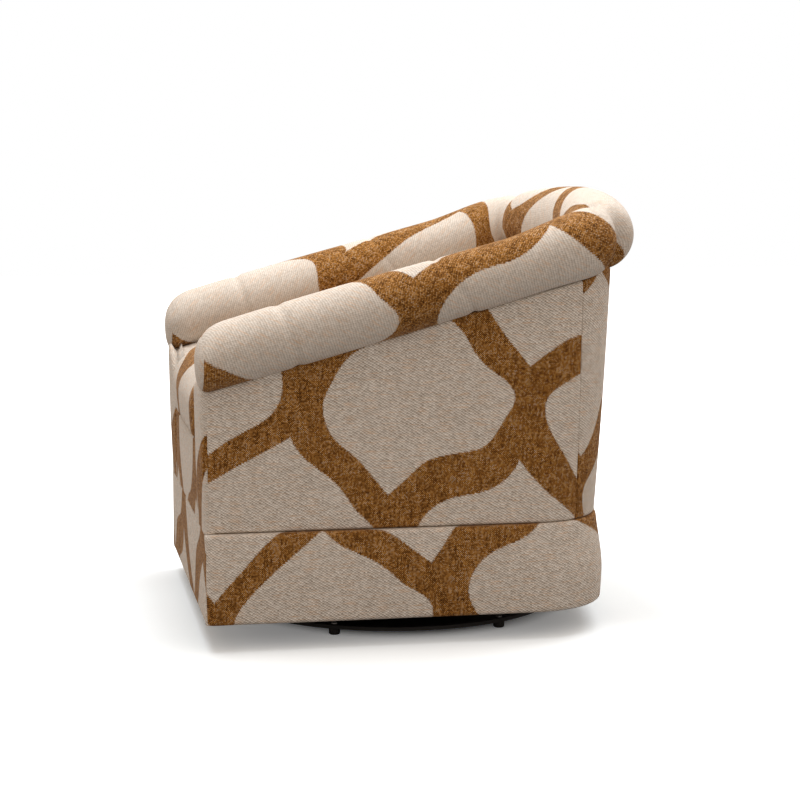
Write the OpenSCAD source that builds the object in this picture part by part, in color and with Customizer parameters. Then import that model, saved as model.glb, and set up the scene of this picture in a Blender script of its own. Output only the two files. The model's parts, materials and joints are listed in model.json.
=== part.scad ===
// Tub chair with a rolled arm and back, hung from the four links of a swivel glider base.
// Millimetres, +Z up, front towards -Y, origin on the floor under the middle of the whole chair.

/* [Body] */
// Width over the two outside arm panels
body_w = 730; // [700:5:780]
// From the arm fronts to the middle of the outside back, at the top of the plinth
body_d = 767; // [740:1:800]
// Radius of the two rear corners, seen from above
corner_r = 140; // [120:5:160]
// Half the angle through which the outside back bows
bow_angle = 14; // [8:1:18]
// How far the outside back has leaned out where its roll sits on it
back_lean = 27; // [10:1:34]
// Thickness of an outside panel with its cloth
panel_t = 5; // [3:0.5:8]
// Thickness of the arm front panels with their cloth
front_panel_t = 8; // [5:1:12]
// Where the outside arm panel ends on the rear corner, as an angle from the side
back_seam_angle = 33; // [20:1:45]

/* [Plinth] */
// Height of the plinth's lower edge above the floor
plinth_z = 49; // [45:1:60]
// Height of the plinth band
plinth_h = 164; // [150:1:180]
// How far the plinth stands out from the sides and the back
plinth_out = 13; // [10:1:16]
// How far the plinth stands out ahead of the arm fronts
plinth_reach = 5; // [3:1:8]
// Thickness of the plinth board with its padding
plinth_t = 18; // [15:1:24]

/* [Rolls] */
// Radius of the arm rolls
roll_r = 59; // [50:1:66]
// Radius of the back roll
back_roll_r = 64; // [58:1:72]
// How far the middle of an arm roll lies inside the outside panel
roll_inset = 13; // [8:1:20]
// How far the middle of the back roll lies inside the outside back
back_roll_inset = 22; // [14:1:26]
// Height of the arm roll's underside at the arm front
roll_front_z = 464; // [445:1:480]
// Slope of the arm rolls, in degrees
roll_slope = 15.4; // [12:0.1:17]
// Length of corner and back over which that slope fades out
roll_ease_l = 180; // [120:5:220]
// How far the nose of an arm roll stands ahead of the arm front
nose_reach = 18; // [12:1:24]
// Angle on the rear corner at which an arm roll meets the back roll
roll_seam_angle = 55; // [50:1:70]
// How deep the rolls are pulled in at that seam
roll_seam_depth = 24; // [10:1:28]
// How far to each side the pull reaches
roll_seam_reach = 21; // [18:1:30]
// Depth of the two tucks sewn round each arm roll
tuck_depth = 2.5; // [1:0.5:4]
// Distance of the first tuck from the arm front
tuck_1 = 146; // [120:1:180]
// Distance of the second tuck from the arm front
tuck_2 = 420; // [380:1:440]

/* [Seat] */
// Height of the deck that the cushion lies on
deck_z = 357; // [345:1:370]
// Height of the cushion's boxed side
cushion_h = 133; // [120:1:145]
// How far the cushion's top crowns above its edge
cushion_crown = 28; // [15:1:35]
// How far the cushion stands ahead of the arm fronts
cushion_reach = 14; // [4:1:18]
// Depth of the back's padding at the deck, from the inside back to the outside back
back_pad_d = 197; // [180:1:215]
// Half the width between the inside arms
arm_inner_x = 238; // [225:1:250]
// Radius of the seat's two rear corners
seat_corner_r = 90; // [70:1:110]
// Radius of the cushion's front corners
cushion_corner_r = 30; // [20:1:40]
// How far the cushion's sides are drawn in between its corners
cushion_draw = 4; // [2:0.5:6]
// Thickness of the deck's felt pad
deck_pad_t = 13; // [8:1:16]

/* [Wooden frame] */
// Height of the seat rails
rail_h = 105; // [90:1:110]
// Thickness of the seat rails
rail_t = 25; // [20:1:30]
// Thickness of the posts, across the arm
post_t = 38; // [30:1:40]
// Width of the posts, along the arm
post_w = 40; // [30:1:50]
// Thickness of the boards under the rolls
board_t = 20; // [16:1:24]
// Half the distance between the two back posts
back_post_x = 123; // [122:1:124]
// Width of the two bearers that the base is bolted to
bearer_w = 44; // [40:1:50]
// Height of the two bearers
bearer_h = 43; // [36:1:45]

/* [Springs] */
// Number of zigzag springs under the deck
spring_count = 5; // [3:1:6]
// Distance between two springs
spring_pitch = 82; // [70:1:85]
// Wire radius of the springs
spring_wire_r = 2; // [1.5:0.1:2.5]
// Half the width of a zigzag
spring_wave = 17; // [14:1:18]
// Number of waves in a spring
spring_waves = 12; // [8:1:14]

/* [Base] */
// Distance of the swivel axis behind the arm fronts
swivel_back = 396; // [380:1:410]
// Radius of the floor disc
disc_r = 322; // [300:1:330]
// Thickness of the disc's sheet steel
disc_t = 2.5; // [2:0.5:3]
// Height of the disc's turned-down rim
rim_h = 8; // [6:1:10]
// Height of the rim's lower edge above the floor
rim_z = 12; // [10:1:14]
// Number of glide feet
foot_count = 6; // [6:1:8]
// Radius of a glide foot
foot_r = 10.5; // [9:0.5:12]
// Distance of a foot's middle from the disc's edge
foot_inset = 11; // [9:1:30]
// Radius of the disc's raised middle
plateau_r = 150; // [140:1:180]
// Height of the raised middle above the rest of the disc
plateau_h = 6.5; // [5:0.5:7]

/* [Swivel bearing] */
// Radius of the ring of balls
ball_ring_r = 90; // [80:1:100]
// Radius of a ball
ball_r = 4; // [3.5:0.5:4.5]
// Number of balls
ball_count = 24; // [18:1:30]
// Thickness of each race
race_t = 3; // [3:0.5:4]
// Half the width of each race
race_half_w = 18; // [14:1:20]
// Gap between the two races
race_gap = 3.4; // [3:0.1:3.8]
// Radius of the centre pin
kingpin_r = 8; // [7:1:9]
// Half the width of the square turntable plate
plate_half_w = 115; // [112:1:125]
// Thickness of the turntable plate
plate_t = 4; // [3:0.5:5]

/* [Glide linkage] */
// Distance between the two pivots of a hanging link
link_l = 80; // [70:1:85]
// Height of the upper pivots above the floor
top_pivot_z = 153; // [148:1:156]
// Half the distance from the front links to the rear links
link_y = 150; // [135:1:160]
// Swing of the links to each side, in degrees
swing_angle = 28; // [20:1:28]
// Radius of the pivot pins
pin_r = 6; // [5:0.5:7]
// Width of a link bar
link_w = 24; // [20:1:26]
// Thickness of a link bar
link_t = 5; // [4:0.5:6]
// Length of a link's round ends, along the pin
link_boss_l = 10; // [8:1:12]
// Where the carriage rails stand, from the swivel axis
carriage_x = 147; // [140:1:150]
// Thickness of the steel bars and plates
bar_t = 4; // [3:0.5:4.5]
// Height of the carriage rails
carriage_rail_h = 52; // [50:1:56]
// Width of the cross tubes
cross_w = 30; // [25:1:35]
// Height of the cross tubes
cross_h = 20; // [18:1:24]
// Wall of the cross tubes
cross_wall = 2; // [1.5:0.5:3]
// Distance of the cross tubes from the swivel axis
cross_y = 90; // [80:1:96]
// Radius of the rubber stops
stop_r = 8; // [6:1:9]

/* [Hidden] */

// Overrun of every cut past the face that it opens
over = 1;
// Gap at which a soft piece lies beside its neighbour
seat_gap = 0.3;
// Gap behind a curved covered panel, which is built from flat strips
shell_gap = 0.6;
// Radial clearance of a turning pin in its bore
run_gap = 0.05;
// Faces of a round cut or bar
round_n = 48;

half_w = body_w / 2;
bow_offset = (half_w - corner_r) / sin(bow_angle);
bow_r = corner_r + bow_offset;
sagitta = bow_r - bow_offset * cos(bow_angle);
whole_d = nose_reach + body_d + back_lean - back_roll_inset + back_roll_r;
front_y = nose_reach - whole_d / 2;
corner_y = front_y + body_d - sagitta;
corner_end = 90 - bow_angle;
plinth_top = plinth_z + plinth_h;
panel_y = front_y + front_panel_t;
pad_y = panel_y + seat_gap;
rail_top = plinth_top + rail_h;
// Insets from the outside panel of the rails, the posts and the padding
rail_in = panel_t + shell_gap;
post_in = panel_t + shell_gap;
pad_in = post_in + post_t + seat_gap;

// A station is a point of the body's outline with the angle of its outward normal: [x, y, angle].
// Angles run from 0 on the right side, through 90 at the middle of the back, to 180 on the left.
function right_turn(a, shift) = a <= corner_end
    ? [half_w - corner_r + corner_r * cos(a), corner_y + shift + corner_r * sin(a), a]
    : [bow_r * cos(a), corner_y + shift + sagitta - bow_r + bow_r * sin(a), a];
function turn(a, shift) = a <= 90
    ? right_turn(a, shift)
    : let (s = right_turn(180 - a, shift)) [-s[0], s[1], a];
function turns(a0, a1, n, shift) = [for (i = [0 : n]) turn(a0 + (a1 - a0) * i / n, shift)];
function sides(y0, y1, n) = [for (i = [0 : n - 1]) [half_w, y0 + (y1 - y0) * i / n, 0]];
// Both rear corners and the back between them, with the bow in fewer steps than the corners
function rear_turns(a0, n_corner, n_bow, shift) = concat(
    [for (i = [0 : n_corner - 1]) turn(a0 + (corner_end - a0) * i / n_corner, shift)],
    [for (i = [0 : n_bow]) turn(corner_end + 2 * bow_angle * i / n_bow, shift)],
    [for (i = [1 : n_corner]) turn(180 - corner_end + (corner_end - a0) * i / n_corner, shift)]);
function inside(s, inset) = [s[0] - inset * cos(s[2]), s[1] - inset * sin(s[2])];
function inset_points(list, inset) = [for (s = list) inside(s, inset)];
function reversed(list) = [for (i = [len(list) - 1 : -1 : 0]) list[i]];
function at_z(p, z) = [p[0], p[1], z];
function mix(a, b, t) = a + (b - a) * t;
function smooth(t) = let (c = min(max(t, 0), 1)) c * c * (3 - 2 * c);
function bell(t) = exp(-t * t);

// Distance along the roll from the start of the rear corner, negative on the arm
path_turn = (corner_r - roll_inset) * corner_end * PI / 180;
roll_corner_y = corner_y + back_lean;
function folded(a) = a <= 90 ? a : 180 - a;
function along(s) = s[2] == 0 ? s[1] - roll_corner_y
    : folded(s[2]) <= corner_end ? (corner_r - roll_inset) * folded(s[2]) * PI / 180
    : path_turn + (bow_r - roll_inset) * (folded(s[2]) - corner_end) * PI / 180;
// Height of the roll's underside: a straight slope on the arm that fades out round the back
roll_corner_z = roll_front_z + tan(roll_slope) * (roll_corner_y - front_y);
function seat_z(s) = along(s) <= 0
    ? roll_corner_z + tan(roll_slope) * along(s)
    : roll_corner_z + tan(roll_slope) * roll_ease_l * (1 - exp(-along(s) / roll_ease_l));
// The roll grows and moves in from this far before the corner, over this length
roll_grow_from = 90;
roll_grow_l = 120;
tuck_reach = 14;
seam_at = (corner_r - roll_inset) * roll_seam_angle * PI / 180;
function growth(s) = smooth((along(s) + roll_grow_from) / roll_grow_l);
function full_r(s) = mix(roll_r, back_roll_r, growth(s));
function roll_in(s) = mix(roll_inset, back_roll_inset, growth(s));
function roll_radius(s) = full_r(s)
    - roll_seam_depth * bell((along(s) - seam_at) / roll_seam_reach)
    - tuck_depth * bell((along(s) + roll_corner_y - front_y - tuck_1) / tuck_reach)
    - tuck_depth * bell((along(s) + roll_corner_y - front_y - tuck_2) / tuck_reach);
function roll_z(s) = seat_z(s) + full_r(s);
roll_sides = 20;
function roll_ring(s, share) = let (c = inside(s, roll_in(s)), r = roll_radius(s) * share) [
    for (k = [0 : roll_sides - 1]) let (t = -360 * k / roll_sides)
        [c[0] + r * cos(t) * cos(s[2]), c[1] + r * cos(t) * sin(s[2]), roll_z(s) + r * sin(t)]];
// The nose is a blunt oval: places along it, and how full it is there
nose_shares = [0, 0.04, 0.12, 0.26, 0.48, 0.72];
nose_l = nose_reach + front_panel_t + seat_gap;
nose_power = 2.8;
nose_tip_share = 0.14;
function nose_share(t) = max(pow(1 - pow(1 - t, nose_power), 1 / nose_power), nose_tip_share);

// A closed skin over rings of equal length, each turning anticlockwise seen from the next ring.
// A fanned end may be out of flat: its triangles all meet in the ring's first point, or, where the
// ring has straight runs, in a hub at its middle.
function middle(ring) = let (ones = [for (p = ring) 1]) ones * ring / len(ring);
module skin(rings, fanned = false, hubs = false) {
    n = len(rings[0]);
    last = (len(rings) - 1) * n;
    hub = len(rings) * n;
    polyhedron(
        points = concat([for (r = rings) each r],
            hubs ? [middle(rings[0]), middle(rings[len(rings) - 1])] : []),
        faces = concat(
            hubs ? [for (k = [0 : n - 1]) [hub, k, (k + 1) % n]]
                : fanned ? [for (k = [1 : n - 2]) [0, k, k + 1]] : [[for (k = [0 : n - 1]) k]],
            hubs ? [for (k = [0 : n - 1]) [hub + 1, last + (k + 1) % n, last + k]]
                : fanned ? [for (k = [1 : n - 2]) [last, last + k + 1, last + k]]
                : [[for (k = [n - 1 : -1 : 0]) last + k]],
            [for (i = [0 : len(rings) - 2]) for (k = [0 : n - 1])
                [i * n + k, (i + 1) * n + k, (i + 1) * n + (k + 1) % n]],
            [for (i = [0 : len(rings) - 2]) for (k = [0 : n - 1])
                [i * n + k, (i + 1) * n + (k + 1) % n, i * n + (k + 1) % n]]),
        convexity = 6);
}
module left_and_right() {
    children();
    mirror([1, 0, 0]) children();
}
// A flat wall that follows part of the outline, between two insets and two heights
module band(stations, outer, inner, z0, z1) {
    translate([0, 0, z0]) linear_extrude(z1 - z0)
        polygon(concat(inset_points(stations, outer), reversed(inset_points(stations, inner))));
}
// A panel from the plinth up to the underside of the roll, leaning out as it rises
module panel(low, high, outer, inner) {
    skin([for (i = [0 : len(low) - 1])
        let (z1 = seat_z(high[i]) - seat_gap) [
            at_z(inside(low[i], outer), plinth_top),
            at_z(inside(low[i], inner), plinth_top),
            at_z(inside(high[i], inner), z1),
            at_z(inside(high[i], outer), z1)]]);
}

cloth_color = "burlywood";
band_color = "peru";
wood_color = "wheat";
black_color = "dimgray";
steel_color = "silver";

// Soft pieces

arm_steps = 12;
corner_steps = 8;
seam_steps = 3;
bow_steps = 16;
arm_list = sides(pad_y, roll_corner_y, arm_steps);
corner_list = turns(0, roll_seam_angle, corner_steps, back_lean);
back_list = rear_turns(roll_seam_angle, seam_steps, bow_steps, back_lean);
left_list = turns(180 - roll_seam_angle, 180, corner_steps, back_lean);
// Every station from the end of one arm to the end of the other
rear_list = concat(corner_list, [for (i = [1 : len(back_list) - 1]) back_list[i]],
    [for (i = [1 : corner_steps]) left_list[i]]);

module arm_rolls() {
    rings = concat(
        [for (t = nose_shares) roll_ring([half_w, front_y - nose_reach + nose_l * t, 0], nose_share(t))],
        [for (s = concat(arm_list, corner_list)) roll_ring(s, 1)]);
    color(cloth_color) left_and_right() skin(rings);
}
module back_roll() {
    color(cloth_color) skin([for (s = back_list) roll_ring(s, 1)]);
}

// The padding hugs the roll from below as far as the crease, then swells out over the seat.
hug_angles = [-56, -43, -30];
hug_half_step = 6.5;
arm_shares = [[0.3, 0.015], [0.62, 0.07], [0.86, 0.2], [0.97, 0.42], [1, 0.7]];
back_shares = [[0.14, 0.03], [0.34, 0.14], [0.58, 0.34], [0.8, 0.58], [0.95, 0.82]];
cushion_front_y = front_y - cushion_reach;
seat_d = body_d + cushion_reach - back_pad_d;
inner_back_y = cushion_front_y + seat_d;
inner_turn_x = arm_inner_x - seat_corner_r;
inner_turn_y = inner_back_y - seat_corner_r;
// Where the padding's inner face meets the deck, for each station of the roll
function inner_foot(s) = s[2] == 0
    ? [arm_inner_x, mix(pad_y, inner_turn_y, (s[1] - pad_y) / (roll_corner_y - pad_y))]
    : folded(s[2]) <= corner_end
    ? let (b = folded(s[2]) * 90 / corner_end, p = [inner_turn_x + seat_corner_r * cos(b),
        inner_turn_y + seat_corner_r * sin(b)]) [s[2] <= 90 ? p[0] : -p[0], p[1]]
    : [inner_turn_x * (90 - s[2]) / bow_angle, inner_back_y];
// The padding's outer wall leans with the outside back.
function wall_low(s) = inside([s[0], s[1] - (along(s) >= 0 ? back_lean - lean_at(deck_z) : 0), s[2]],
    pad_in);
function pad_ring(s) = let (
    r = (roll_radius(s) + seat_gap) / cos(hug_half_step),
    hug = [for (t = hug_angles) at_z(inside(s, roll_in(s) + r * cos(t)), roll_z(s) + r * sin(t))],
    crease = hug[len(hug) - 1],
    foot = at_z(inner_foot(s), deck_z + seat_gap),
    w = smooth(along(s) / path_turn),
    shares = mix(arm_shares, back_shares, w),
    face = [for (p = shares) [mix(crease[0], foot[0], p[0]), mix(crease[1], foot[1], p[0]),
        mix(crease[2], foot[2], p[1])]])
    concat(
        [at_z(wall_low(s), deck_z + seat_gap)],
        [foot],
        reversed(face),
        reversed(hug),
        [at_z(inside(s, pad_in), seat_z(s) - seat_gap)]);
module inside_arms() {
    list = concat(arm_list, [corner_list[0]]);
    color(cloth_color) left_and_right() skin([for (s = list) pad_ring(s)], fanned = true);
}
module inside_back() {
    color(cloth_color) skin([for (s = rear_list) pad_ring(s)], fanned = true);
}

// The cushion's outline is a rounded oblong, drawn in between its corners.
cushion_in = 1;
function oblong(x, y0, y1, r0, r1, n) = concat(
    [for (i = [0 : n]) let (t = -90 + 90 * i / n) [x - r0 + r0 * cos(t), y0 + r0 + r0 * sin(t)]],
    [for (i = [1 : n - 1]) [x, mix(y0 + r0, y1 - r1, i / n)]],
    [for (i = [0 : n]) let (t = 90 * i / n) [x - r1 + r1 * cos(t), y1 - r1 + r1 * sin(t)]],
    [for (i = [1 : n - 1]) [mix(x - r1, r1 - x, i / n), y1]],
    [for (i = [0 : n]) let (t = 90 + 90 * i / n) [r1 - x + r1 * cos(t), y1 - r1 + r1 * sin(t)]],
    [for (i = [1 : n - 1]) [-x, mix(y1 - r1, y0 + r0, i / n)]],
    [for (i = [0 : n]) let (t = 180 + 90 * i / n) [r0 - x + r0 * cos(t), y0 + r0 + r0 * sin(t)]],
    [for (i = [1 : n - 1]) [mix(r0 - x, x - r0, i / n), y0]]);
cushion_mid_y = cushion_front_y + seat_d / 2;
// Levels of the cushion's skin: [share of the outline, share of the side's height, share of the crown]
cushion_levels = [[0.9, 0, 0], [0.975, 0.05, 0], [1, 0.22, 0], [0.992, 0.5, 0],
    [1, 0.8, 0], [0.985, 0.95, 0], [0.955, 1, 0], [0.85, 1, 0.45], [0.66, 1, 0.78],
    [0.42, 1, 0.94], [0.16, 1, 1]];
module seat_cushion() {
    x = arm_inner_x - cushion_in;
    outline = oblong(x, cushion_front_y, inner_back_y - cushion_in, cushion_corner_r,
        seat_corner_r, 5);
    draw_x = [for (p = outline) cushion_draw * bell(3 * (p[1] - cushion_mid_y) / seat_d)];
    color(cloth_color) skin([for (level = cushion_levels)
        [for (i = [0 : len(outline) - 1]) let (p = outline[i])
            [p[0] * level[0] * (1 - draw_x[i] / x),
            cushion_mid_y + (p[1] - cushion_mid_y) * level[0],
            deck_z + seat_gap + cushion_h * level[1] + cushion_crown * level[2]]]], hubs = true);
}

// Covered panels

module outside_arms() {
    n = 6;
    low = concat(sides(panel_y, corner_y, n), turns(0, back_seam_angle, 6, 0));
    high = concat(sides(panel_y, roll_corner_y, n), turns(0, back_seam_angle, 6, back_lean));
    color(band_color) left_and_right() panel(low, high, 0, panel_t);
}
module outside_back() {
    color(cloth_color) panel(rear_turns(back_seam_angle, 5, 10, 0),
        rear_turns(back_seam_angle, 5, 10, back_lean), 0, panel_t);
}
nose_back_share = (nose_reach + front_panel_t) / nose_l;
module arm_fronts() {
    front = [half_w, front_y, 0];
    r = roll_r * nose_share(nose_back_share) + seat_gap;
    x = half_w - roll_inset;
    z = roll_z(front);
    arc = [for (t = [-90 : 12 : -30]) [x - r * cos(t), z + r * sin(t)]];
    crease = arc[len(arc) - 1];
    shoulder = [for (p = arm_shares)
        [mix(crease[0], arm_inner_x, p[0]), mix(crease[1], deck_z, p[1])]];
    color(cloth_color) left_and_right()
        translate([0, panel_y, 0]) rotate([90, 0, 0]) linear_extrude(front_panel_t)
            polygon(concat(
                [[arm_inner_x, plinth_top], [half_w, plinth_top], [half_w, z - r]],
                arc, shoulder));
}
border_reach = plinth_reach - over;
module front_border() {
    color(band_color)
        translate([-arm_inner_x + seat_gap, front_y - border_reach, plinth_top])
            cube([2 * arm_inner_x - 2 * seat_gap, border_reach + front_panel_t, deck_z - plinth_top]);
}
module plinth_front() {
    w = half_w + plinth_out;
    color(band_color) translate([-w, front_y - plinth_reach, plinth_z])
        cube([2 * w, plinth_t, plinth_h]);
}
plinth_in_y = front_y - plinth_reach + plinth_t;
module plinth_sides() {
    color(cloth_color) left_and_right()
        translate([half_w + plinth_out - plinth_t, plinth_in_y, plinth_z])
            cube([plinth_t, corner_y - plinth_in_y, plinth_h]);
}
module plinth_back() {
    color(band_color) band(rear_turns(0, 20, 10, 0), -plinth_out, plinth_t - plinth_out,
        plinth_z, plinth_top);
}

// Wooden frame

module bearer() {
    y1 = corner_y + sagitta - rail_in - rail_t;
    color(wood_color) difference() {
        translate([seat_plate_x, plinth_in_y, plinth_top - bearer_h])
            cube([bearer_w, y1 - plinth_in_y, bearer_h]);
        for (y = bolt_ys)
            translate([bolt_x, y, plinth_top - bearer_h - over])
                cylinder(h = bolt_l + over, r = bolt_r + run_gap, $fn = round_n);
    }
}
module bearer_right() { bearer(); }
module bearer_left() { mirror([1, 0, 0]) bearer(); }
module front_rail() {
    x = half_w - rail_in;
    color(wood_color) translate([-x, panel_y, plinth_top]) cube([2 * x, rail_t, rail_h]);
}
module side_rail() {
    color(wood_color) translate([half_w - rail_in - rail_t, panel_y + rail_t, plinth_top])
        cube([rail_t, corner_y - panel_y - rail_t, rail_h]);
}
module side_rail_right() { side_rail(); }
module side_rail_left() { mirror([1, 0, 0]) side_rail(); }
module rear_rail() {
    color(wood_color) band(rear_turns(0, 16, 8, 0), rail_in, rail_in + rail_t,
        plinth_top, rail_top);
}
block_w = 60;
module corner_blocks() {
    x = half_w - rail_in - rail_t;
    y = panel_y + rail_t;
    color(wood_color) left_and_right()
        translate([0, 0, plinth_top]) linear_extrude(rail_h)
            polygon([[x, y], [x, y + block_w], [x - block_w, y]]);
}
// Post and board follow the slope of the roll that they carry.
function arm_z(y) = seat_z([half_w, y, 0]) - seat_gap;
module arm_prism(y0, y1, z0, z1, w0, w1) {
    translate([half_w - post_in, 0, 0]) rotate([90, 0, -90]) linear_extrude(post_t)
        polygon([[-y0, z0], [-y0, z1], [-y1, w1], [-y1, w0]]);
}
module arm_posts() {
    color(wood_color) left_and_right() {
        for (y = [panel_y, corner_y - post_w])
            arm_prism(y, y + post_w, rail_top, arm_z(y) - board_t,
                rail_top, arm_z(y + post_w) - board_t);
    }
}
module arm_board() {
    color(wood_color) arm_prism(panel_y, corner_y, arm_z(panel_y) - board_t, arm_z(panel_y),
        arm_z(corner_y) - board_t, arm_z(corner_y));
}
module arm_board_right() { arm_board(); }
module arm_board_left() { mirror([1, 0, 0]) arm_board(); }
// How far the outside back has leaned out at a height
roll_back_z = seat_z(turn(90, back_lean));
function lean_at(z) = back_lean * (z - plinth_top) / (roll_back_z - plinth_top);
function back_y(x, inset) = corner_y + sagitta - bow_r + sqrt(pow(bow_r - inset, 2) - x * x);
rail_seam_z = seat_z(turn(corner_end, back_lean)) - seat_gap - 2 * board_t;
module back_posts() {
    x = back_post_x + post_w / 2;
    y = back_y(x, post_in);
    t = y - back_y(x - post_w, post_in + post_t);
    z1 = rail_seam_z;
    color(wood_color) left_and_right()
        translate([x, 0, 0]) rotate([90, 0, -90]) linear_extrude(post_w)
            polygon([[-y - lean_at(rail_top), rail_top], [-y - lean_at(z1), z1],
                [-y - lean_at(z1) + t, z1], [-y - lean_at(rail_top) + t, rail_top]]);
}
module back_top_rail() {
    // The rail stands upright, where its lower edge has to be.
    step = lean_at(rail_seam_z) - back_lean;
    color(wood_color) skin([for (h = rear_list)
        let (s = [h[0], h[1] + step, h[2]], z1 = seat_z(h) - seat_gap - 2 * shell_gap,
            z0 = min(rail_seam_z, z1 - board_t)) [
            at_z(inside(s, post_in), z0),
            at_z(inside(s, post_in + rail_t), z0),
            at_z(inside(s, post_in + rail_t), z1),
            at_z(inside(s, post_in), z1)]]);
}

// Springs and deck

clip_t = 3;
clip_w = 16;
spring_y0 = panel_y + rail_t / 2;
spring_z = rail_top + clip_t + spring_wire_r;
spring_arch = deck_z - deck_pad_t - seat_gap - spring_wire_r - spring_z;
ring_per_wave = 6;
wire_sides = 5;
function spring_y1(x) = back_y(x, rail_in + rail_t / 2);
function spring_point(x, t) = [
    x + spring_wave * sin(360 * spring_waves * t),
    mix(spring_y0, spring_y1(x), t),
    spring_z + spring_arch * sin(180 * t)];
function unit(v) = v / norm(v);
function wire_ring(x, t) = let (
    d = 1 / (spring_waves * ring_per_wave * 4),
    f = unit(spring_point(x, t + d) - spring_point(x, t - d)),
    u = unit(cross(f, [0, 0, 1])),
    v = cross(u, f),
    p = spring_point(x, t)) [
    for (k = [0 : wire_sides - 1]) let (a = 360 * k / wire_sides)
        p + spring_wire_r * (cos(a) * u + sin(a) * v)];
spring_xs = [for (i = [0 : spring_count - 1]) (i - (spring_count - 1) / 2) * spring_pitch];
module seat_springs() {
    n = spring_waves * ring_per_wave;
    color(steel_color) for (x = spring_xs)
        skin([for (i = [0 : n]) reversed(wire_ring(x, i / n))]);
}
module spring_clips() {
    color(steel_color) for (x = spring_xs) for (y = [spring_y0, spring_y1(x)])
        translate([x - clip_w / 2, y - rail_t / 4, rail_top]) cube([clip_w, rail_t / 2, clip_t]);
}
module deck_pad() {
    list = concat(sides(pad_y, corner_y, 1), rear_turns(0, 10, 8, 0), [[-half_w, pad_y, 180]]);
    color("gray") translate([0, 0, deck_z - deck_pad_t]) linear_extrude(deck_pad_t)
        polygon(inset_points(list, pad_in));
}
cover_t = 1;
module dust_cover() {
    x = seat_plate_x - seat_gap;
    color("black") translate([-x, plinth_in_y, plinth_top - cover_t])
        cube([2 * x, back_y(x, rail_in + rail_t / 2) - plinth_in_y, cover_t]);
}

// Floor base: everything below turns about or stands on the swivel axis

swivel_y = front_y + swivel_back;
sheet_z = rim_z + rim_h - disc_t;
plateau_z = sheet_z + plateau_h;
step_w = 10;
screw_r = 3;
screw_head_r = 6;
screw_head_h = 3.5;
foot_ring_r = disc_r - foot_inset;
foot_angles = [for (i = [0 : foot_count - 1]) 30 + 360 * i / foot_count];
module at_swivel(z) { translate([0, swivel_y, z]) children(); }
module at_feet(z) {
    for (a = foot_angles)
        at_swivel(z) rotate([0, 0, a]) translate([foot_ring_r, 0, 0]) children();
}
module ring(r0, r1, h) {
    rotate_extrude($fn = 2 * round_n) translate([r0, 0]) square([r1 - r0, h]);
}
module floor_disc() {
    color(black_color) difference() {
        at_swivel(0) rotate_extrude($fn = 4 * round_n) polygon([
            [kingpin_r + run_gap, plateau_z],
            [plateau_r, plateau_z],
            [plateau_r + step_w, sheet_z],
            [disc_r - disc_t, sheet_z],
            [disc_r - disc_t, rim_z],
            [disc_r, rim_z],
            [disc_r, sheet_z + disc_t / 2],
            [disc_r - disc_t / 2, sheet_z + disc_t],
            [plateau_r + step_w, sheet_z + disc_t],
            [plateau_r, plateau_z + disc_t],
            [kingpin_r + run_gap, plateau_z + disc_t]]);
        at_feet(sheet_z - over) cylinder(h = disc_t + 2 * over, r = screw_r + run_gap, $fn = round_n);
        at_feet(0) cylinder(h = sheet_z, r = foot_r + run_gap, $fn = round_n);
    }
}
foot_edge = 2;
module glide_feet() {
    color("black") at_feet(0) difference() {
        rotate_extrude($fn = round_n) polygon([[0, 0], [foot_r - foot_edge, 0], [foot_r, foot_edge],
            [foot_r, sheet_z], [0, sheet_z]]);
        translate([0, 0, foot_edge + over])
            cylinder(h = sheet_z, r = screw_r + run_gap, $fn = round_n);
    }
}
module foot_screws() {
    top = sheet_z + disc_t;
    color(steel_color) at_feet(0) rotate_extrude($fn = round_n) polygon([
        [0, rim_z / 2], [screw_r, rim_z / 2], [screw_r, top], [screw_head_r, top],
        [screw_head_r, top + screw_head_h / 2], [screw_head_r / 2, top + screw_head_h],
        [0, top + screw_head_h]]);
}

// Swivel bearing

lower_race_z = plateau_z + disc_t;
ball_z = lower_race_z + race_t + race_gap / 2;
upper_race_z = lower_race_z + race_t + race_gap;
plate_z = upper_race_z + race_t;
cage_t = race_gap / 2;
module race(z) {
    color(steel_color) at_swivel(0) difference() {
        translate([0, 0, z]) ring(ball_ring_r - race_half_w, ball_ring_r + race_half_w, race_t);
        translate([0, 0, ball_z]) rotate_extrude($fn = 2 * round_n)
            translate([ball_ring_r, 0]) circle(r = ball_r + run_gap, $fn = round_n);
    }
}
module lower_race() { race(lower_race_z); }
module upper_race() { race(upper_race_z); }
module at_balls() {
    for (i = [0 : ball_count - 1])
        at_swivel(ball_z) rotate([0, 0, 360 * i / ball_count]) translate([ball_ring_r, 0, 0])
            children();
}
module bearing_balls() { color("white") at_balls() sphere(r = ball_r, $fn = round_n); }
module ball_cage() {
    color("tan") difference() {
        at_swivel(ball_z - cage_t / 2)
            ring(ball_ring_r - 2 * ball_r, ball_ring_r + 2 * ball_r, cage_t);
        at_balls() translate([0, 0, -ball_r]) cylinder(h = 2 * ball_r, r = ball_r + run_gap,
            $fn = round_n);
    }
}
head_r = 14;
head_h = 8;
washer_t = 2;
plate_top = plate_z + plate_t;
module hex(r, h) { cylinder(h = h, r = r, $fn = 6); }
module kingpin() {
    color(steel_color) at_swivel(0) {
        translate([0, 0, plateau_z - head_h]) hex(head_r, head_h);
        translate([0, 0, plateau_z - over])
            cylinder(h = plate_top + washer_t + head_h + 2 * over - plateau_z, r = kingpin_r,
                $fn = round_n);
    }
}
module thrust_washer() {
    color(steel_color) at_swivel(plate_top + run_gap) ring(kingpin_r + run_gap, head_r, washer_t);
}
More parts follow.
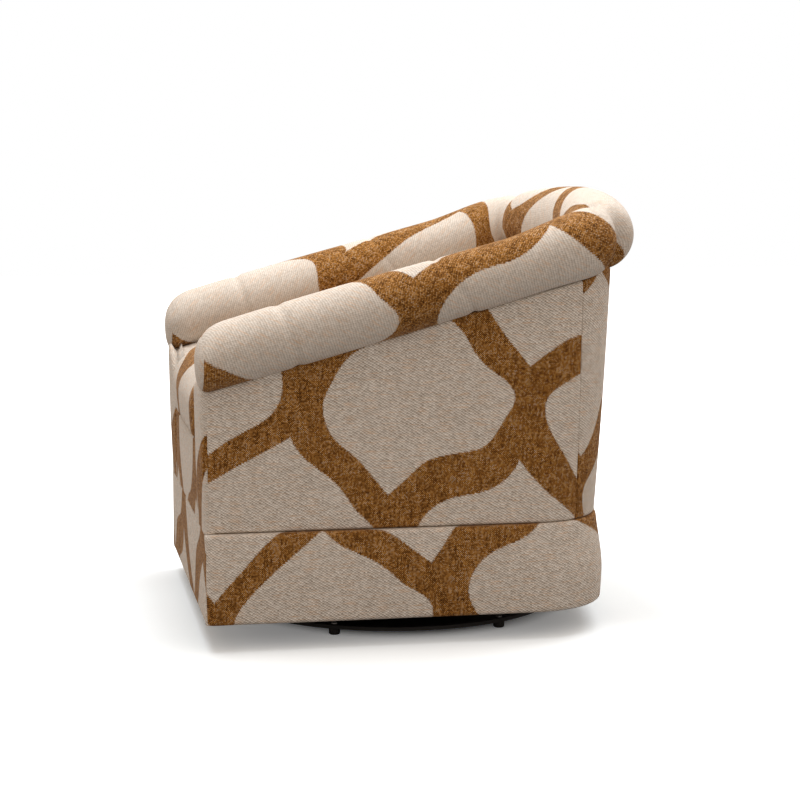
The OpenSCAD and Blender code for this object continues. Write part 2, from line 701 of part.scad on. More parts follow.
module kingpin_nut() {
    color(steel_color) at_swivel(plate_top + washer_t + 2 * run_gap) difference() {
        hex(head_r, head_h);
        translate([0, 0, -over]) cylinder(h = head_h + 2 * over, r = kingpin_r + run_gap,
            $fn = round_n);
    }
}
plate_corner_r = 12;
carriage_bolt_r = 4;
module carriage_bolt_places() {
    for (x = [-cross_y, cross_y]) for (y = [-cross_y, cross_y])
        at_swivel(0) translate([x, y, 0]) children();
}
module turntable_plate() {
    w = plate_half_w;
    color(black_color) difference() {
        at_swivel(plate_z) union() {
            translate([-w, plate_corner_r - w, 0])
                cube([2 * w, 2 * w - 2 * plate_corner_r, plate_t]);
            translate([plate_corner_r - w, -w, 0])
                cube([2 * w - 2 * plate_corner_r, 2 * w, plate_t]);
            for (x = [plate_corner_r - w, w - plate_corner_r])
                for (y = [plate_corner_r - w, w - plate_corner_r])
                    translate([x, y, 0]) cylinder(h = plate_t, r = plate_corner_r, $fn = round_n);
        }
        at_swivel(plate_z - over)
            cylinder(h = plate_t + 2 * over, r = kingpin_r + run_gap, $fn = round_n);
        carriage_bolt_places() translate([0, 0, plate_z - over])
            cylinder(h = plate_t + 2 * over, r = carriage_bolt_r + run_gap, $fn = round_n);
    }
}

// Carriage: cross tubes on the plate, a rail at each side, and an upright at each link

module cross_tube(y) {
    l = 2 * carriage_x;
    color(black_color) difference() {
        at_swivel(plate_top) translate([-carriage_x, y - cross_w / 2, 0]) difference() {
            cube([l, cross_w, cross_h]);
            translate([-over, cross_wall, cross_wall])
                cube([l + 2 * over, cross_w - 2 * cross_wall, cross_h - 2 * cross_wall]);
        }
        carriage_bolt_places() translate([0, 0, plate_z])
            cylinder(h = cross_h + 2 * plate_t, r = carriage_bolt_r + run_gap, $fn = round_n);
    }
}
module front_cross_tube() { cross_tube(-cross_y); }
module rear_cross_tube() { cross_tube(cross_y); }
module carriage_bolts() {
    color(steel_color) carriage_bolt_places() {
        translate([0, 0, plate_z - bar_t]) hex(screw_head_r + over, bar_t);
        translate([0, 0, plate_z - over])
            cylinder(h = plate_t + cross_h + over, r = carriage_bolt_r, $fn = round_n);
        translate([0, 0, plate_top + cross_h]) hex(screw_head_r + over, bar_t);
    }
}
upright_x = carriage_x + bar_t;
upright_t = 5;
upright_w = 34;
swing_y = link_l * sin(swing_angle);
link_boss_r = 14;
stop_gap = 0.6;
stop_y = link_y + swing_y + link_boss_r + stop_gap + stop_r;
stop_z = top_pivot_z - link_l * cos(swing_angle);
rail_end_y = stop_y + stop_r + bar_t;
module carriage_rail() {
    color(black_color) at_swivel(plate_top) {
        translate([carriage_x, -rail_end_y, 0]) cube([bar_t, 2 * rail_end_y, carriage_rail_h]);
        translate([carriage_x, -rail_end_y, 0]) cube([bar_t + upright_t, 2 * rail_end_y, bar_t]);
    }
}
module carriage_rail_right() { carriage_rail(); }
module carriage_rail_left() { mirror([1, 0, 0]) carriage_rail(); }
module along_x(x, y, z) { at_swivel(z) translate([x, y, 0]) rotate([0, 90, 0]) children(); }
module bar_cut(x, y, z, r, h) { along_x(x, y, z) cylinder(h = h, r = r, $fn = round_n); }
module uprights() {
    z0 = plate_top + bar_t;
    color(black_color) left_and_right() for (y = [-link_y, link_y]) difference() {
        union() {
            at_swivel(z0) translate([upright_x, y - upright_w / 2, 0])
                cube([upright_t, upright_w, top_pivot_z - z0]);
            bar_cut(upright_x, y, top_pivot_z, upright_w / 2, upright_t);
        }
        bar_cut(upright_x - over, y, top_pivot_z, pin_r + run_gap, upright_t + 2 * over);
    }
}
link_gap = 3.5;
boss_x = upright_x + upright_t + link_gap + run_gap;
collar_r = 10;
pin_head_t = 3.5;
module top_pivot_pins() {
    color(steel_color) left_and_right() for (y = [-link_y, link_y]) {
        bar_cut(upright_x, y, top_pivot_z, pin_r, boss_x + link_boss_l + over - upright_x);
        bar_cut(upright_x + upright_t, y, top_pivot_z, collar_r, link_gap);
        bar_cut(boss_x + link_boss_l + run_gap, y, top_pivot_z, collar_r, pin_head_t);
    }
}
module rubber_stops() {
    color("black") left_and_right() for (y = [-stop_y, stop_y])
        bar_cut(upright_x, y, stop_z, stop_r, boss_x + link_boss_l - upright_x);
}

// Hanging links, each with a nylon bush at both ends

bush_wall = 3;
bottom_pivot_z = top_pivot_z - link_l;
pivot_zs = [top_pivot_z, bottom_pivot_z];
module link(y) {
    x = boss_x + (link_boss_l - link_t) / 2;
    color(black_color) difference() {
        union() {
            at_swivel(bottom_pivot_z) translate([x, y - link_w / 2, 0])
                cube([link_t, link_w, link_l]);
            for (z = pivot_zs) bar_cut(boss_x, y, z, link_boss_r, link_boss_l);
        }
        for (z = pivot_zs)
            bar_cut(boss_x - over, y, z, pin_r + bush_wall, link_boss_l + 2 * over);
    }
}
module bushes(y) {
    color("ivory") for (z = pivot_zs) difference() {
        bar_cut(boss_x, y, z, pin_r + bush_wall, link_boss_l);
        bar_cut(boss_x - over, y, z, pin_r + run_gap, link_boss_l + 2 * over);
    }
}
module link_front_right() { link(-link_y); }
module link_rear_right() { link(link_y); }
module link_front_left() { mirror([1, 0, 0]) link(-link_y); }
module link_rear_left() { mirror([1, 0, 0]) link(link_y); }
module bushes_front_right() { bushes(-link_y); }
module bushes_rear_right() { bushes(link_y); }
module bushes_front_left() { mirror([1, 0, 0]) bushes(-link_y); }
module bushes_rear_left() { mirror([1, 0, 0]) bushes(link_y); }

// Seat plates: pressed angles that hang from the links and are bolted under the bearers

seat_plate_x = boss_x + link_boss_l + 2 * link_gap + pin_head_t;
seat_plate_l = 2 * link_y + 90;
seat_plate_z = bottom_pivot_z - 13;
seat_plate_h = plinth_top - bearer_h - seat_plate_z;
window_r = 24;
bolt_x = seat_plate_x + bearer_w / 2;
bolt_r = 4;
bolt_l = 30;
bolt_ys = [for (i = [-1.5 : 1 : 1.5]) swivel_y + i * seat_plate_l / 4];
module seat_plate() {
    z0 = seat_plate_z;
    z1 = plinth_top - bearer_h - bar_t;
    color(black_color) difference() {
        union() {
            at_swivel(z0) translate([seat_plate_x, -seat_plate_l / 2, 0])
                cube([bar_t, seat_plate_l, seat_plate_h]);
            at_swivel(z1) translate([seat_plate_x, -seat_plate_l / 2, 0])
                cube([bearer_w, seat_plate_l, bar_t]);
        }
        for (y = [-link_y, link_y])
            bar_cut(seat_plate_x - over, y, bottom_pivot_z, pin_r + run_gap, bar_t + 2 * over);
        for (y = [-link_y / 2, 0, link_y / 2])
            bar_cut(seat_plate_x - over, y, (z0 + z1) / 2, window_r, bar_t + 2 * over);
        for (y = bolt_ys) translate([bolt_x, y, z1 - over])
            cylinder(h = bar_t + 2 * over, r = bolt_r + run_gap, $fn = round_n);
    }
}
module seat_plate_right() { seat_plate(); }
module seat_plate_left() { mirror([1, 0, 0]) seat_plate(); }
clip_ring_t = 1.5;
module bottom_pivot_pins() {
    end_x = boss_x - clip_ring_t - 2 * run_gap;
    collar_x = boss_x + link_boss_l + run_gap;
    color(steel_color) left_and_right() for (y = [-link_y, link_y]) {
        bar_cut(end_x, y, bottom_pivot_z, pin_r, seat_plate_x + bar_t - end_x);
        bar_cut(collar_x, y, bottom_pivot_z, collar_r, seat_plate_x - collar_x);
    }
}
module pin_clips() {
    x = boss_x - clip_ring_t - run_gap;
    color(steel_color) left_and_right() for (y = [-link_y, link_y]) difference() {
        bar_cut(x, y, bottom_pivot_z, pin_r + bush_wall, clip_ring_t);
        bar_cut(x - over, y, bottom_pivot_z, pin_r, clip_ring_t + 2 * over);
    }
}
module seat_plate_bolts() {
    z = plinth_top - bearer_h - bar_t;
    color(steel_color) left_and_right() for (y = bolt_ys) {
        translate([bolt_x, y, z - bar_t]) hex(screw_head_r + over, bar_t);
        translate([bolt_x, y, z - over])
            cylinder(h = bolt_l + bar_t - over, r = bolt_r, $fn = round_n);
    }
}

floor_disc();
glide_feet();
foot_screws();
lower_race();
bearing_balls();
ball_cage();
kingpin();
thrust_washer();
kingpin_nut();
upper_race();
turntable_plate();
front_cross_tube();
rear_cross_tube();
carriage_rail_left();
carriage_rail_right();
uprights();
top_pivot_pins();
rubber_stops();
carriage_bolts();
link_front_left();
link_front_right();
link_rear_left();
link_rear_right();
bushes_front_left();
bushes_front_right();
bushes_rear_left();
bushes_rear_right();
seat_plate_left();
seat_plate_right();
bottom_pivot_pins();
pin_clips();
seat_plate_bolts();
bearer_left();
bearer_right();
front_rail();
side_rail_left();
side_rail_right();
rear_rail();
corner_blocks();
arm_posts();
arm_board_left();
arm_board_right();
back_posts();
back_top_rail();
seat_springs();
spring_clips();
deck_pad();
dust_cover();
plinth_front();
plinth_sides();
plinth_back();
front_border();
arm_fronts();
outside_arms();
outside_back();
inside_arms();
inside_back();
arm_rolls();
back_roll();
seat_cushion();
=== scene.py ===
import bpy
import json
import math
import numpy as np
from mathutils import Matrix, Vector


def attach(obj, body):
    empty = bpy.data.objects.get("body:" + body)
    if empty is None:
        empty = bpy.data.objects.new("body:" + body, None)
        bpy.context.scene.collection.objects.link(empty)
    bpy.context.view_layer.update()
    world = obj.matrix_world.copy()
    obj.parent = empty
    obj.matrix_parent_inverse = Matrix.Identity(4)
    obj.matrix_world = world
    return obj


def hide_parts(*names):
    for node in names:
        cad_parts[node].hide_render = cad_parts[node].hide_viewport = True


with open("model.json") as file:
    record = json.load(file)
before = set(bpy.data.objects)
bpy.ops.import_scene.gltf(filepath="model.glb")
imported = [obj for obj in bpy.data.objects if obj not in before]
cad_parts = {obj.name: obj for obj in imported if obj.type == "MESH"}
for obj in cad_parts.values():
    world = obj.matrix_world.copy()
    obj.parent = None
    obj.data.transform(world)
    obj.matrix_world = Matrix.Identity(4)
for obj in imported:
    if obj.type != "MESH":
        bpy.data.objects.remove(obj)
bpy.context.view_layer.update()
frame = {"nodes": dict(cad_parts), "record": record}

# Camera and studio
# The camera stands where the photograph's did, fitted in metres and radians. One large soft lamp hangs
# over the chair, a weaker one behind it, and a pale floor keeps only the chair's soft contact shadow.
CAMERA_PLACE = (4.07574, -0.74575, 0.94031)
CAMERA_TURN, CAMERA_DIP = 0.18194, 0.13048
LENS, SENSOR = 96.0, 36.0
# lamps: name, place, what they point at, width in metres and power in watts
LAMPS = (("key", (-0.2, -0.4, 3.3), (0, 0, 0.4), 2.4, 67),
         ("rim", (-1.2, 1.6, 2.8), (0, 0, 0.5), 2.0, 40))
SKY_LEVEL = 0.74
FLOOR_REACH = 9.0
# the floor's own glow towards the camera: two distances in metres, and its level at each
GLOW_OUTWARDS = (0.75, 2.0, 0.03, 1.0)
GLOW_PAST_DISC = (0.28, 0.33, 0.0, 1.0)
GLOW_BESIDE = (0.25, 0.42, 0.15, 0.24)
GLOW_AHEAD = (0.34, 0.46, 0.0, 0.14)

scene = bpy.context.scene
scene.view_settings.view_transform = "Standard"


def linear(code):
    """sRGB hex to a linear colour with alpha 1, by the standard's own curve."""
    c = np.array([int(code[i:i + 2], 16) / 255 for i in (1, 3, 5)])
    c = np.where(c <= 0.04045, c / 12.92, ((c + 0.055) / 1.055) ** 2.4)
    return (*c.tolist(), 1.0)


def add(tree, kind, inputs=None, **settings):
    """Adds one shader node. An input is a value, another node's socket, or a node for its first socket."""
    n = tree.nodes.new("ShaderNode" + kind)
    for key, value in settings.items():
        setattr(n, key, value)
    for key, value in (inputs or {}).items():
        if isinstance(value, bpy.types.Node):
            value = value.outputs[0]
        if isinstance(value, bpy.types.NodeSocket):
            tree.links.new(value, n.inputs[key])
        else:
            n.inputs[key].default_value = value
    return n


def new_material(name):
    """An empty material and its node tree."""
    m = bpy.data.materials.new(name)
    m.use_nodes = True
    m.node_tree.nodes.clear()
    return m, m.node_tree


camera = bpy.data.objects.new("photo_camera", bpy.data.cameras.new("photo_camera"))
scene.collection.objects.link(camera)
scene.camera = camera
camera.data.sensor_width = SENSOR
camera.data.lens = LENS
camera.location = CAMERA_PLACE
level = math.cos(CAMERA_DIP)
sight = Vector((-math.cos(CAMERA_TURN) * level, math.sin(CAMERA_TURN) * level, -math.sin(CAMERA_DIP)))
camera.rotation_euler = sight.to_track_quat("-Z", "Y").to_euler()

for name, place, target, size, power in LAMPS:
    lamp = bpy.data.objects.new(name, bpy.data.lights.new(name, "AREA"))
    lamp.data.shape = "DISK"
    lamp.data.size = size
    lamp.data.energy = power
    lamp.location = place
    lamp.rotation_euler = (Vector(target) - Vector(place)).to_track_quat("-Z", "Y").to_euler()
    scene.collection.objects.link(lamp)

# a warm, dim sky lights the chair, and the camera sees it white
scene.world = bpy.data.worlds.new("studio")
scene.world.use_nodes = True
sky = scene.world.node_tree
sky.nodes.clear()
dim = add(sky, "Background", {"Color": linear("#FFEEDF"), "Strength": SKY_LEVEL})
bright = add(sky, "Background", {"Color": linear("#FFFFFF"), "Strength": 1.0})
seen = add(sky, "LightPath").outputs["Is Camera Ray"]
add(sky, "OutputWorld", {0: add(sky, "MixShader", {0: seen, 1: dim, 2: bright})})

corners = [(-1, -1), (1, -1), (1, 1), (-1, 1)]
floor_mesh = bpy.data.meshes.new("floor")
floor_mesh.from_pydata([(FLOOR_REACH * x, FLOOR_REACH * y, 0) for x, y in corners], [], [(0, 1, 2, 3)])
floor = bpy.data.objects.new("floor", floor_mesh)
scene.collection.objects.link(floor)

# floor paint: matt grey for the light that falls on the chair. For the camera it is a bluish white, lifted
# by a glow that grows with distance and that is stronger beside the chair than before and behind it.
floor_material, paint = new_material("studio_floor")
here = add(paint, "TexCoord").outputs["Object"]
away = add(paint, "VectorMath", {0: here}, operation="LENGTH").outputs["Value"]
to_sides = add(paint, "SeparateXYZ", {0: add(paint, "VectorMath", {0: here}, operation="ABSOLUTE")}).outputs
glows = []
for distance, levels in ((away, GLOW_OUTWARDS), (away, GLOW_PAST_DISC), (to_sides[0], GLOW_BESIDE),
                         (to_sides[1], GLOW_AHEAD)):
    limits = dict(zip(("From Min", "From Max", "To Min", "To Max"), levels))
    glows.append(add(paint, "MapRange", {"Value": distance, **limits}))
outwards, past_disc, beside, ahead = glows
near = add(paint, "Math", {0: beside, 1: ahead}, operation="SUBTRACT")
near = add(paint, "Math", {0: past_disc, 1: near}, operation="MULTIPLY")
glow = add(paint, "Math", {0: outwards, 1: near}, operation="ADD")
pale = add(paint, "BsdfDiffuse", {"Color": linear("#BAC2C8")})
twice = add(paint, "AddShader", {0: pale, 1: pale})
lift = add(paint, "Emission", {"Color": linear("#FFFFFF"), "Strength": glow})
white = add(paint, "AddShader", {0: twice, 1: lift})
grey = add(paint, "BsdfDiffuse", {"Color": linear("#909090")})
seen = add(paint, "LightPath").outputs["Is Camera Ray"]
add(paint, "OutputMaterial", {0: add(paint, "MixShader", {0: seen, 1: grey, 2: white})})
floor.data.materials.append(floor_material)

# Steel, wood and plastic pieces
# Floor disc, bearing, carriage, links, frame, springs and dust cover, as the construction has them: pressed
# and turned steel, planed wood, moulded nylon and rubber. Each takes the finish that its record slot names.
FINE_RELIEF = 0.0003
ROUGHNESS_SPREAD = 0.12
DARKEST_SPOT = 6


def fine_finish(name, code, roughness, metal=0.0, grain=0.02, spots=400.0, stretch=(1, 1, 1), relief=0.15):
    """A finish with a fine noise on object coordinates. It darkens the colour by up to 6 times grain,
    and spreads the roughness by 0.06 both ways. spots is their number in a metre, which stretch multiplies
    along each axis, and relief is the strength of the bump."""
    m, t = new_material(name)
    where = add(t, "Mapping", {"Vector": add(t, "TexCoord").outputs["Object"], "Scale": stretch})
    noise = add(t, "TexNoise", {"Vector": where, "Scale": spots, "Detail": 3.0})
    base = linear(code)
    dark = (*(v * (1 - grain * DARKEST_SPOT) for v in base[:3]), 1.0)
    # sockets 6 and 7 of a mixer are its colours, and its output 2 is their mixture
    colour = add(t, "Mix", {0: noise, 6: base, 7: dark}, data_type="RGBA").outputs[2]
    middle = roughness - ROUGHNESS_SPREAD / 2
    rough = add(t, "Math", {0: noise, 1: ROUGHNESS_SPREAD, 2: middle}, operation="MULTIPLY_ADD")
    bump = add(t, "Bump", {"Strength": relief, "Distance": FINE_RELIEF, "Height": noise})
    look = {"Base Color": colour, "Roughness": rough, "Metallic": metal, "Normal": bump}
    add(t, "OutputMaterial", {0: add(t, "BsdfPrincipled", look)})
    return m


finishes = {
    # powder-coated sheet steel: matt black with an orange peel of about 1 mm
    "black_steel": fine_finish("black_steel", "#0A0A0A", 0.55, grain=0.03, spots=900),
    # moulded plastic: as black and duller
    "black_plastic": fine_finish("black_plastic", "#090909", 0.6, spots=600),
    # zinc plating: a pale, slightly cloudy gloss
    "zinc_steel": fine_finish("zinc_steel", "#B9BABC", 0.35, metal=1.0, spots=700),
    # ground races and balls: the brightest metal here
    "bearing_steel": fine_finish("bearing_steel", "#C6C6C8", 0.25, metal=1.0, spots=500),
    # drawn spring wire: a darker grey, with a broad gloss
    "spring_steel": fine_finish("spring_steel", "#7C7E80", 0.4, metal=1.0, spots=500),
    # moulded nylon: milky cream with a slight gloss
    "nylon": fine_finish("nylon", "#E4DCC6", 0.45, spots=300),
    # moulded rubber: dull and almost black
    "rubber": fine_finish("rubber", "#1A1A1A", 0.8, spots=500),
    # planed wood: pale, its grain 12 mm wide and drawn out to 70 mm from front to back
    "wood": fine_finish("wood", "#C9A878", 0.7, grain=0.05, spots=14, stretch=(6, 1, 6), relief=0.3),
    # pressed felt: grey and fuzzy, with no gloss
    "felt": fine_finish("felt", "#6E6A64", 0.95, grain=0.06, spots=900, relief=0.6),
    # thin dust cloth: black, with a fine fibrous surface
    "cover_cloth": fine_finish("cover_cloth", "#161616", 0.9, grain=0.05, spots=1500, relief=0.5),
}
for sub in frame["record"]["subparts"]:
    node = frame["nodes"][sub["node"]]
    if sub["material_slot"] in finishes:
        node.data.materials.clear()
        node.data.materials.append(finishes[sub["material_slot"]])

# Arm rolls
# Cloth over stuffing, 118 mm thick, which overhangs the outside panels by 46 mm. Each roll starts in a blunt
# nose ahead of the arm front, has two slanting tucks, and turns the rear corner to its deep seam.

# The chair's outline, in millimetres as every size from here on: straight sides, rear corners of 140 and
# a back bowed by 14 degrees to each side. Above the plinth its rear leans back, by 27 under the roll.
HALF, DEPTH, FRONT = 365.0, 767.0, -409.0
CORNER, BOW = 140.0, math.radians(14)
TURN = math.pi / 2 - BOW
BOW_R = CORNER + (HALF - CORNER) / math.sin(BOW)
CORNER_Y = FRONT + DEPTH - (BOW_R - (BOW_R - CORNER) * math.cos(BOW))
SIDE_L = CORNER_Y - FRONT
REAR_L = 2 * (CORNER * TURN + BOW_R * BOW)
LEAN = 27.0
# The roll: its radius, how far its middle lies inside the outline, and what both gain on their way into
# the corner, from 90 ahead of it over a run of 120.
ROLL_R, ROLL_GAIN = 59.0, 5.0
INSET, INSET_GAIN = 13.0, 9.0
GAIN_START, GAIN_RUN = -90.0, 120.0
ROLL_CORNER = CORNER - INSET
# Its underside at the front, the slope there and the run over which it levels out behind the corner.
ARM_Z, CLIMB, LEVELLING = 464.0, math.tan(math.radians(15.4)), 180.0
# The seam with the back roll: its place, its pull, and the part of that pull that goes all the way round.
SEAM = math.radians(55)
SEAM_PULL, SEAM_RUN, SEAM_ROUND, SEAM_TURN, SEAM_POWER = 32.0, 21.0, 0.25, 0.35, 1.2
# Tucks: depth, distance behind the front, share of the slant that they take, and half width. The one
# round the nose doesn't slant.
NOSE_TUCK = (1.2, 20.7, 2.5)
TUCKS, TUCK_SLANT = ((3.0, 150.0, 0.5, 8.0), (3.4, 420.0, 1.0, 7.0)), 34.0
# A slow swell along the arm: its height, where the wave starts, its run for each radian, and where and
# over what run it fades in.
SWELL, SWELL_FROM, SWELL_RUN, SWELL_START, SWELL_FADE = 1.6, 40.0, 118.0, 30.0, 80.0
# The nose: how far its tip stands ahead of the outline's front, how deep its face is mapped as a disc, the
# length over which it rounds, which is longer on top and towards the seat, and the power of that rounding.
NOSE_AHEAD, NOSE_FACE, NOSE_RUN = 18.0, 11.0, 26.3
NOSE_TOP, NOSE_TOP_POWER = 32.0, 1.5
NOSE_INSIDE, NOSE_INSIDE_TURN, NOSE_INSIDE_POWER = 24.0, 3.6, 4
NOSE_POWER = 2.6
FACE_SPACING, FACE_GAP = 1.7, 0.1
# The cloth on a roll: where its joint lies round the roll, the radii in metres that lay it out flat, and
# where the nose's disc lies on the cloth.
JOINT_TURN = -1.9
ARM_MAP_R, NOSE_MAP_R, NOSE_MAP_SHIFT = 0.060, 0.059, -0.35
ROLL_FILL = 0.9


def cloth(name, shift=(0.0, 0.0), turn=0.0, bias=0.0, depth=1.0):
    """Heavy woven cloth, in millimetres on the piece's map "cloth": matt with a faint sheen, slanting cream
    ribs with peach and grey slubs, and ochre bands in a plain weave. The bands lie within 35 mm of the
    curves x = 100 (1 + cos(2 pi y / 500)), mirrored every 200 mm, on a swaying grid: an ogee lattice.
    shift and turn place the cut, bias turns its threads, and depth is how strongly the ribs stand out."""
    band_half, band_edge = 35.0, 1.5
    mirror, period, swing = 200.0, 500.0, 100.0
    sway, sway_scale = 150.0, 0.0042
    ragged, ragged_scale = 2.5, 0.35
    edge_steps = (2.4, 3.2, 1.0)
    # single threads are too fine to show, so the ribs and yarns are drawn this coarse
    rib_gap, yarn = 4.9, 3.8
    fall, climb, wander, wander_scale = 0.60, -0.85, 5.0, 0.12
    rib_height, counter_height, rib_level = 0.37 * depth, 0.21 * depth, 0.52
    rib_share, dash_share = 0.68, 0.32
    slubs = (((0.03, 0.34, 1), 0.52, 0.5, "#DDB48A"), ((0.36, 0.035, 1), 0.54, 0.4, "#B5ADA4"))
    slub_full = 0.72
    stitch_share, end_share, shot_share, over_share, floor_share = 0.5, 0.18, 0.12, 0.32, 0.10
    stops = ((0.12, "#331B05"), (0.36, "#6F471A"), (0.56, "#96662E"), (0.78, "#C28F48"), (0.92, "#C2AA90"))
    fuzz_height, fuzz_scale = 0.6, 0.9

    m, t = new_material(name)
    uv = add(t, "UVMap", uv_map="cloth")
    to_mm = (1000, 1000, 1000)
    cut = add(t, "Mapping", {"Vector": uv, "Location": (*shift, 0), "Rotation": (0, 0, turn), "Scale": to_mm})
    flat = add(t, "Mapping", {"Vector": uv, "Rotation": (0, 0, bias), "Scale": to_mm})
    x, y, _ = add(t, "SeparateXYZ", {0: flat}).outputs

    # bands: distance from the nearest curve, stepped from thread to thread
    step = add(t, "VectorMath", {0: cut, 1: edge_steps}, operation="SNAP")
    far = add(t, "TexNoise", {"Vector": step, "Scale": sway_scale, "Detail": 1.0, "Roughness": 0.4})
    far = add(t, "VectorMath", {0: far.outputs["Color"], 1: (0.5, 0.5, 0.5)}, operation="SUBTRACT")
    far = add(t, "VectorMath", {0: far, "Scale": sway}, operation="SCALE")
    place = add(t, "SeparateXYZ", {0: add(t, "VectorMath", {0: step, 1: far}, operation="ADD")}).outputs
    across = add(t, "Math", {0: place[0], 1: mirror}, operation="PINGPONG")
    phase = add(t, "Math", {0: place[1], 1: 2 * math.pi / period}, operation="MULTIPLY")
    curve = add(t, "Math", {0: phase}, operation="COSINE")
    curve = add(t, "Math", {0: curve, 1: swing, 2: swing}, operation="MULTIPLY_ADD")
    slope = add(t, "Math", {0: phase}, operation="SINE")
    slope = add(t, "Math", {0: slope, 1: swing * 2 * math.pi / period}, operation="MULTIPLY")
    length = add(t, "Math", {0: slope, 1: slope, 2: 1.0}, operation="MULTIPLY_ADD")
    length = add(t, "Math", {0: length}, operation="SQRT")
    gap = add(t, "Math", {0: across, 1: curve}, operation="SUBTRACT")
    gap = add(t, "Math", {0: gap}, operation="ABSOLUTE")
    gap = add(t, "Math", {0: gap, 1: length}, operation="DIVIDE")
    fray = add(t, "TexNoise", {"Vector": step, "Scale": ragged_scale, "Detail": 0.0})
    gap = add(t, "Math", {0: fray, 1: ragged, 2: gap}, operation="MULTIPLY_ADD")
    limits = {"From Min": band_half, "From Max": band_half + band_edge, "To Min": 1.0, "To Max": 0.0}
    band = add(t, "MapRange", {"Value": gap, **limits})

    # cream ground: short dashes where two sets of slanting ribs cross
    drift = add(t, "TexNoise", {"Vector": flat, "Scale": wander_scale, "Detail": 2.0})
    drift = add(t, "Math", {0: drift, 1: wander, 2: y}, operation="MULTIPLY_ADD")
    falling = add(t, "Math", {0: x, 1: fall, 2: drift}, operation="MULTIPLY_ADD")
    rising = add(t, "Math", {0: x, 1: climb, 2: drift}, operation="MULTIPLY_ADD")
    waves = []
    for along_wave, spacing in ((falling, rib_gap), (rising, rib_gap), (x, yarn), (y, yarn)):
        wave = add(t, "Math", {0: along_wave, 1: 2 * math.pi / spacing}, operation="MULTIPLY")
        waves.append(add(t, "Math", {0: wave}, operation="SINE"))
    rib, counter, end_wave, shot_wave = waves
    counter = add(t, "Math", {0: counter, 1: counter_height, 2: rib_level}, operation="MULTIPLY_ADD")
    rib = add(t, "Math", {0: rib, 1: rib_height, 2: counter}, operation="MULTIPLY_ADD")
    cell = [add(t, "Math", {0: axis, 1: rib_gap}, operation="SNAP") for axis in (rising, falling)]
    cell = add(t, "CombineXYZ", {0: cell[0], 1: cell[1]})
    dash = add(t, "TexWhiteNoise", {"Vector": cell}, noise_dimensions="2D")
    even = dash_share * (1 - depth) / 2
    dash = add(t, "Math", {0: dash, 1: dash_share * depth, 2: even}, operation="MULTIPLY_ADD")
    grain = add(t, "Math", {0: rib, 1: rib_share, 2: dash}, operation="MULTIPLY_ADD")
    cream = add(t, "Mix", {0: grain, 6: linear("#8D8070"), 7: linear("#FFFAF3")}, data_type="RGBA").outputs[2]
    for run, start, share, code in slubs:
        slub = add(t, "Mapping", {"Vector": flat, "Scale": run})
        slub = add(t, "TexNoise", {"Vector": slub, "Scale": 1.0, "Detail": 2.0})
        slub = add(t, "MapRange", {"Value": slub, "From Min": start, "From Max": slub_full})
        slub = add(t, "Math", {0: slub, 1: share}, operation="MULTIPLY")
        cream = add(t, "Mix", {0: slub, 6: cream, 7: linear(code)}, data_type="RGBA").outputs[2]

    # ochre bands: single stitches, long warp ends and weft shots, and the waves of the plain weave
    threads = []
    for size in ((yarn / 2, yarn / 2, 1.0), (yarn, 5 * yarn, 1.0), (4 * yarn, yarn, 1.0)):
        thread = add(t, "VectorMath", {0: flat, 1: size}, operation="SNAP")
        threads.append(add(t, "TexWhiteNoise", {"Vector": thread}, noise_dimensions="2D"))
    stitch, end, shot = threads
    over = add(t, "Math", {0: end_wave, 1: shot_wave}, operation="MULTIPLY")
    tone = add(t, "Math", {0: over, 1: over_share, 2: floor_share}, operation="MULTIPLY_ADD")
    tone = add(t, "Math", {0: shot, 1: shot_share, 2: tone}, operation="MULTIPLY_ADD")
    tone = add(t, "Math", {0: end, 1: end_share, 2: tone}, operation="MULTIPLY_ADD")
    tone = add(t, "Math", {0: stitch, 1: stitch_share, 2: tone}, operation="MULTIPLY_ADD")
    ochre = add(t, "ValToRGB", {0: tone})
    while len(ochre.color_ramp.elements) < len(stops):
        ochre.color_ramp.elements.new(0.5)
    for element, (at, code) in zip(ochre.color_ramp.elements, stops):
        element.position = at
        element.color = linear(code)
    colour = add(t, "Mix", {0: band, 6: cream, 7: ochre}, data_type="RGBA").outputs[2]

    # relief: ribs on the ground, stitches on the bands, and a fuzz over both
    height = add(t, "Mix", {0: band, 2: rib, 3: stitch}, data_type="FLOAT")
    fuzz = add(t, "TexNoise", {"Vector": flat, "Scale": fuzz_scale, "Detail": 2.0})
    fuzz = add(t, "Math", {0: fuzz, 1: fuzz_height}, operation="MULTIPLY")
    height = add(t, "Math", {0: height, 1: fuzz}, operation="ADD")
    bump = add(t, "Bump", {"Strength": 0.3, "Distance": 0.0008, "Height": height})
    look = {"Roughness": 0.92, "Specular IOR Level": 0.12, "Sheen Weight": 0.08, "Sheen Roughness": 0.5}
    shade = add(t, "BsdfPrincipled", {"Base Color": colour, "Normal": bump, **look})
    add(t, "OutputMaterial", {0: shade})
    return m


def smooth(t):
    """0 below 0, 1 above 1 and t * t * (3 - 2 t) between them."""
    t = np.clip(t, 0, 1)
    return t * t * (3 - 2 * t)


def bell(t):
    """A bell curve, 1 at 0 and exp(-t * t) elsewhere."""
    return np.exp(-t * t)


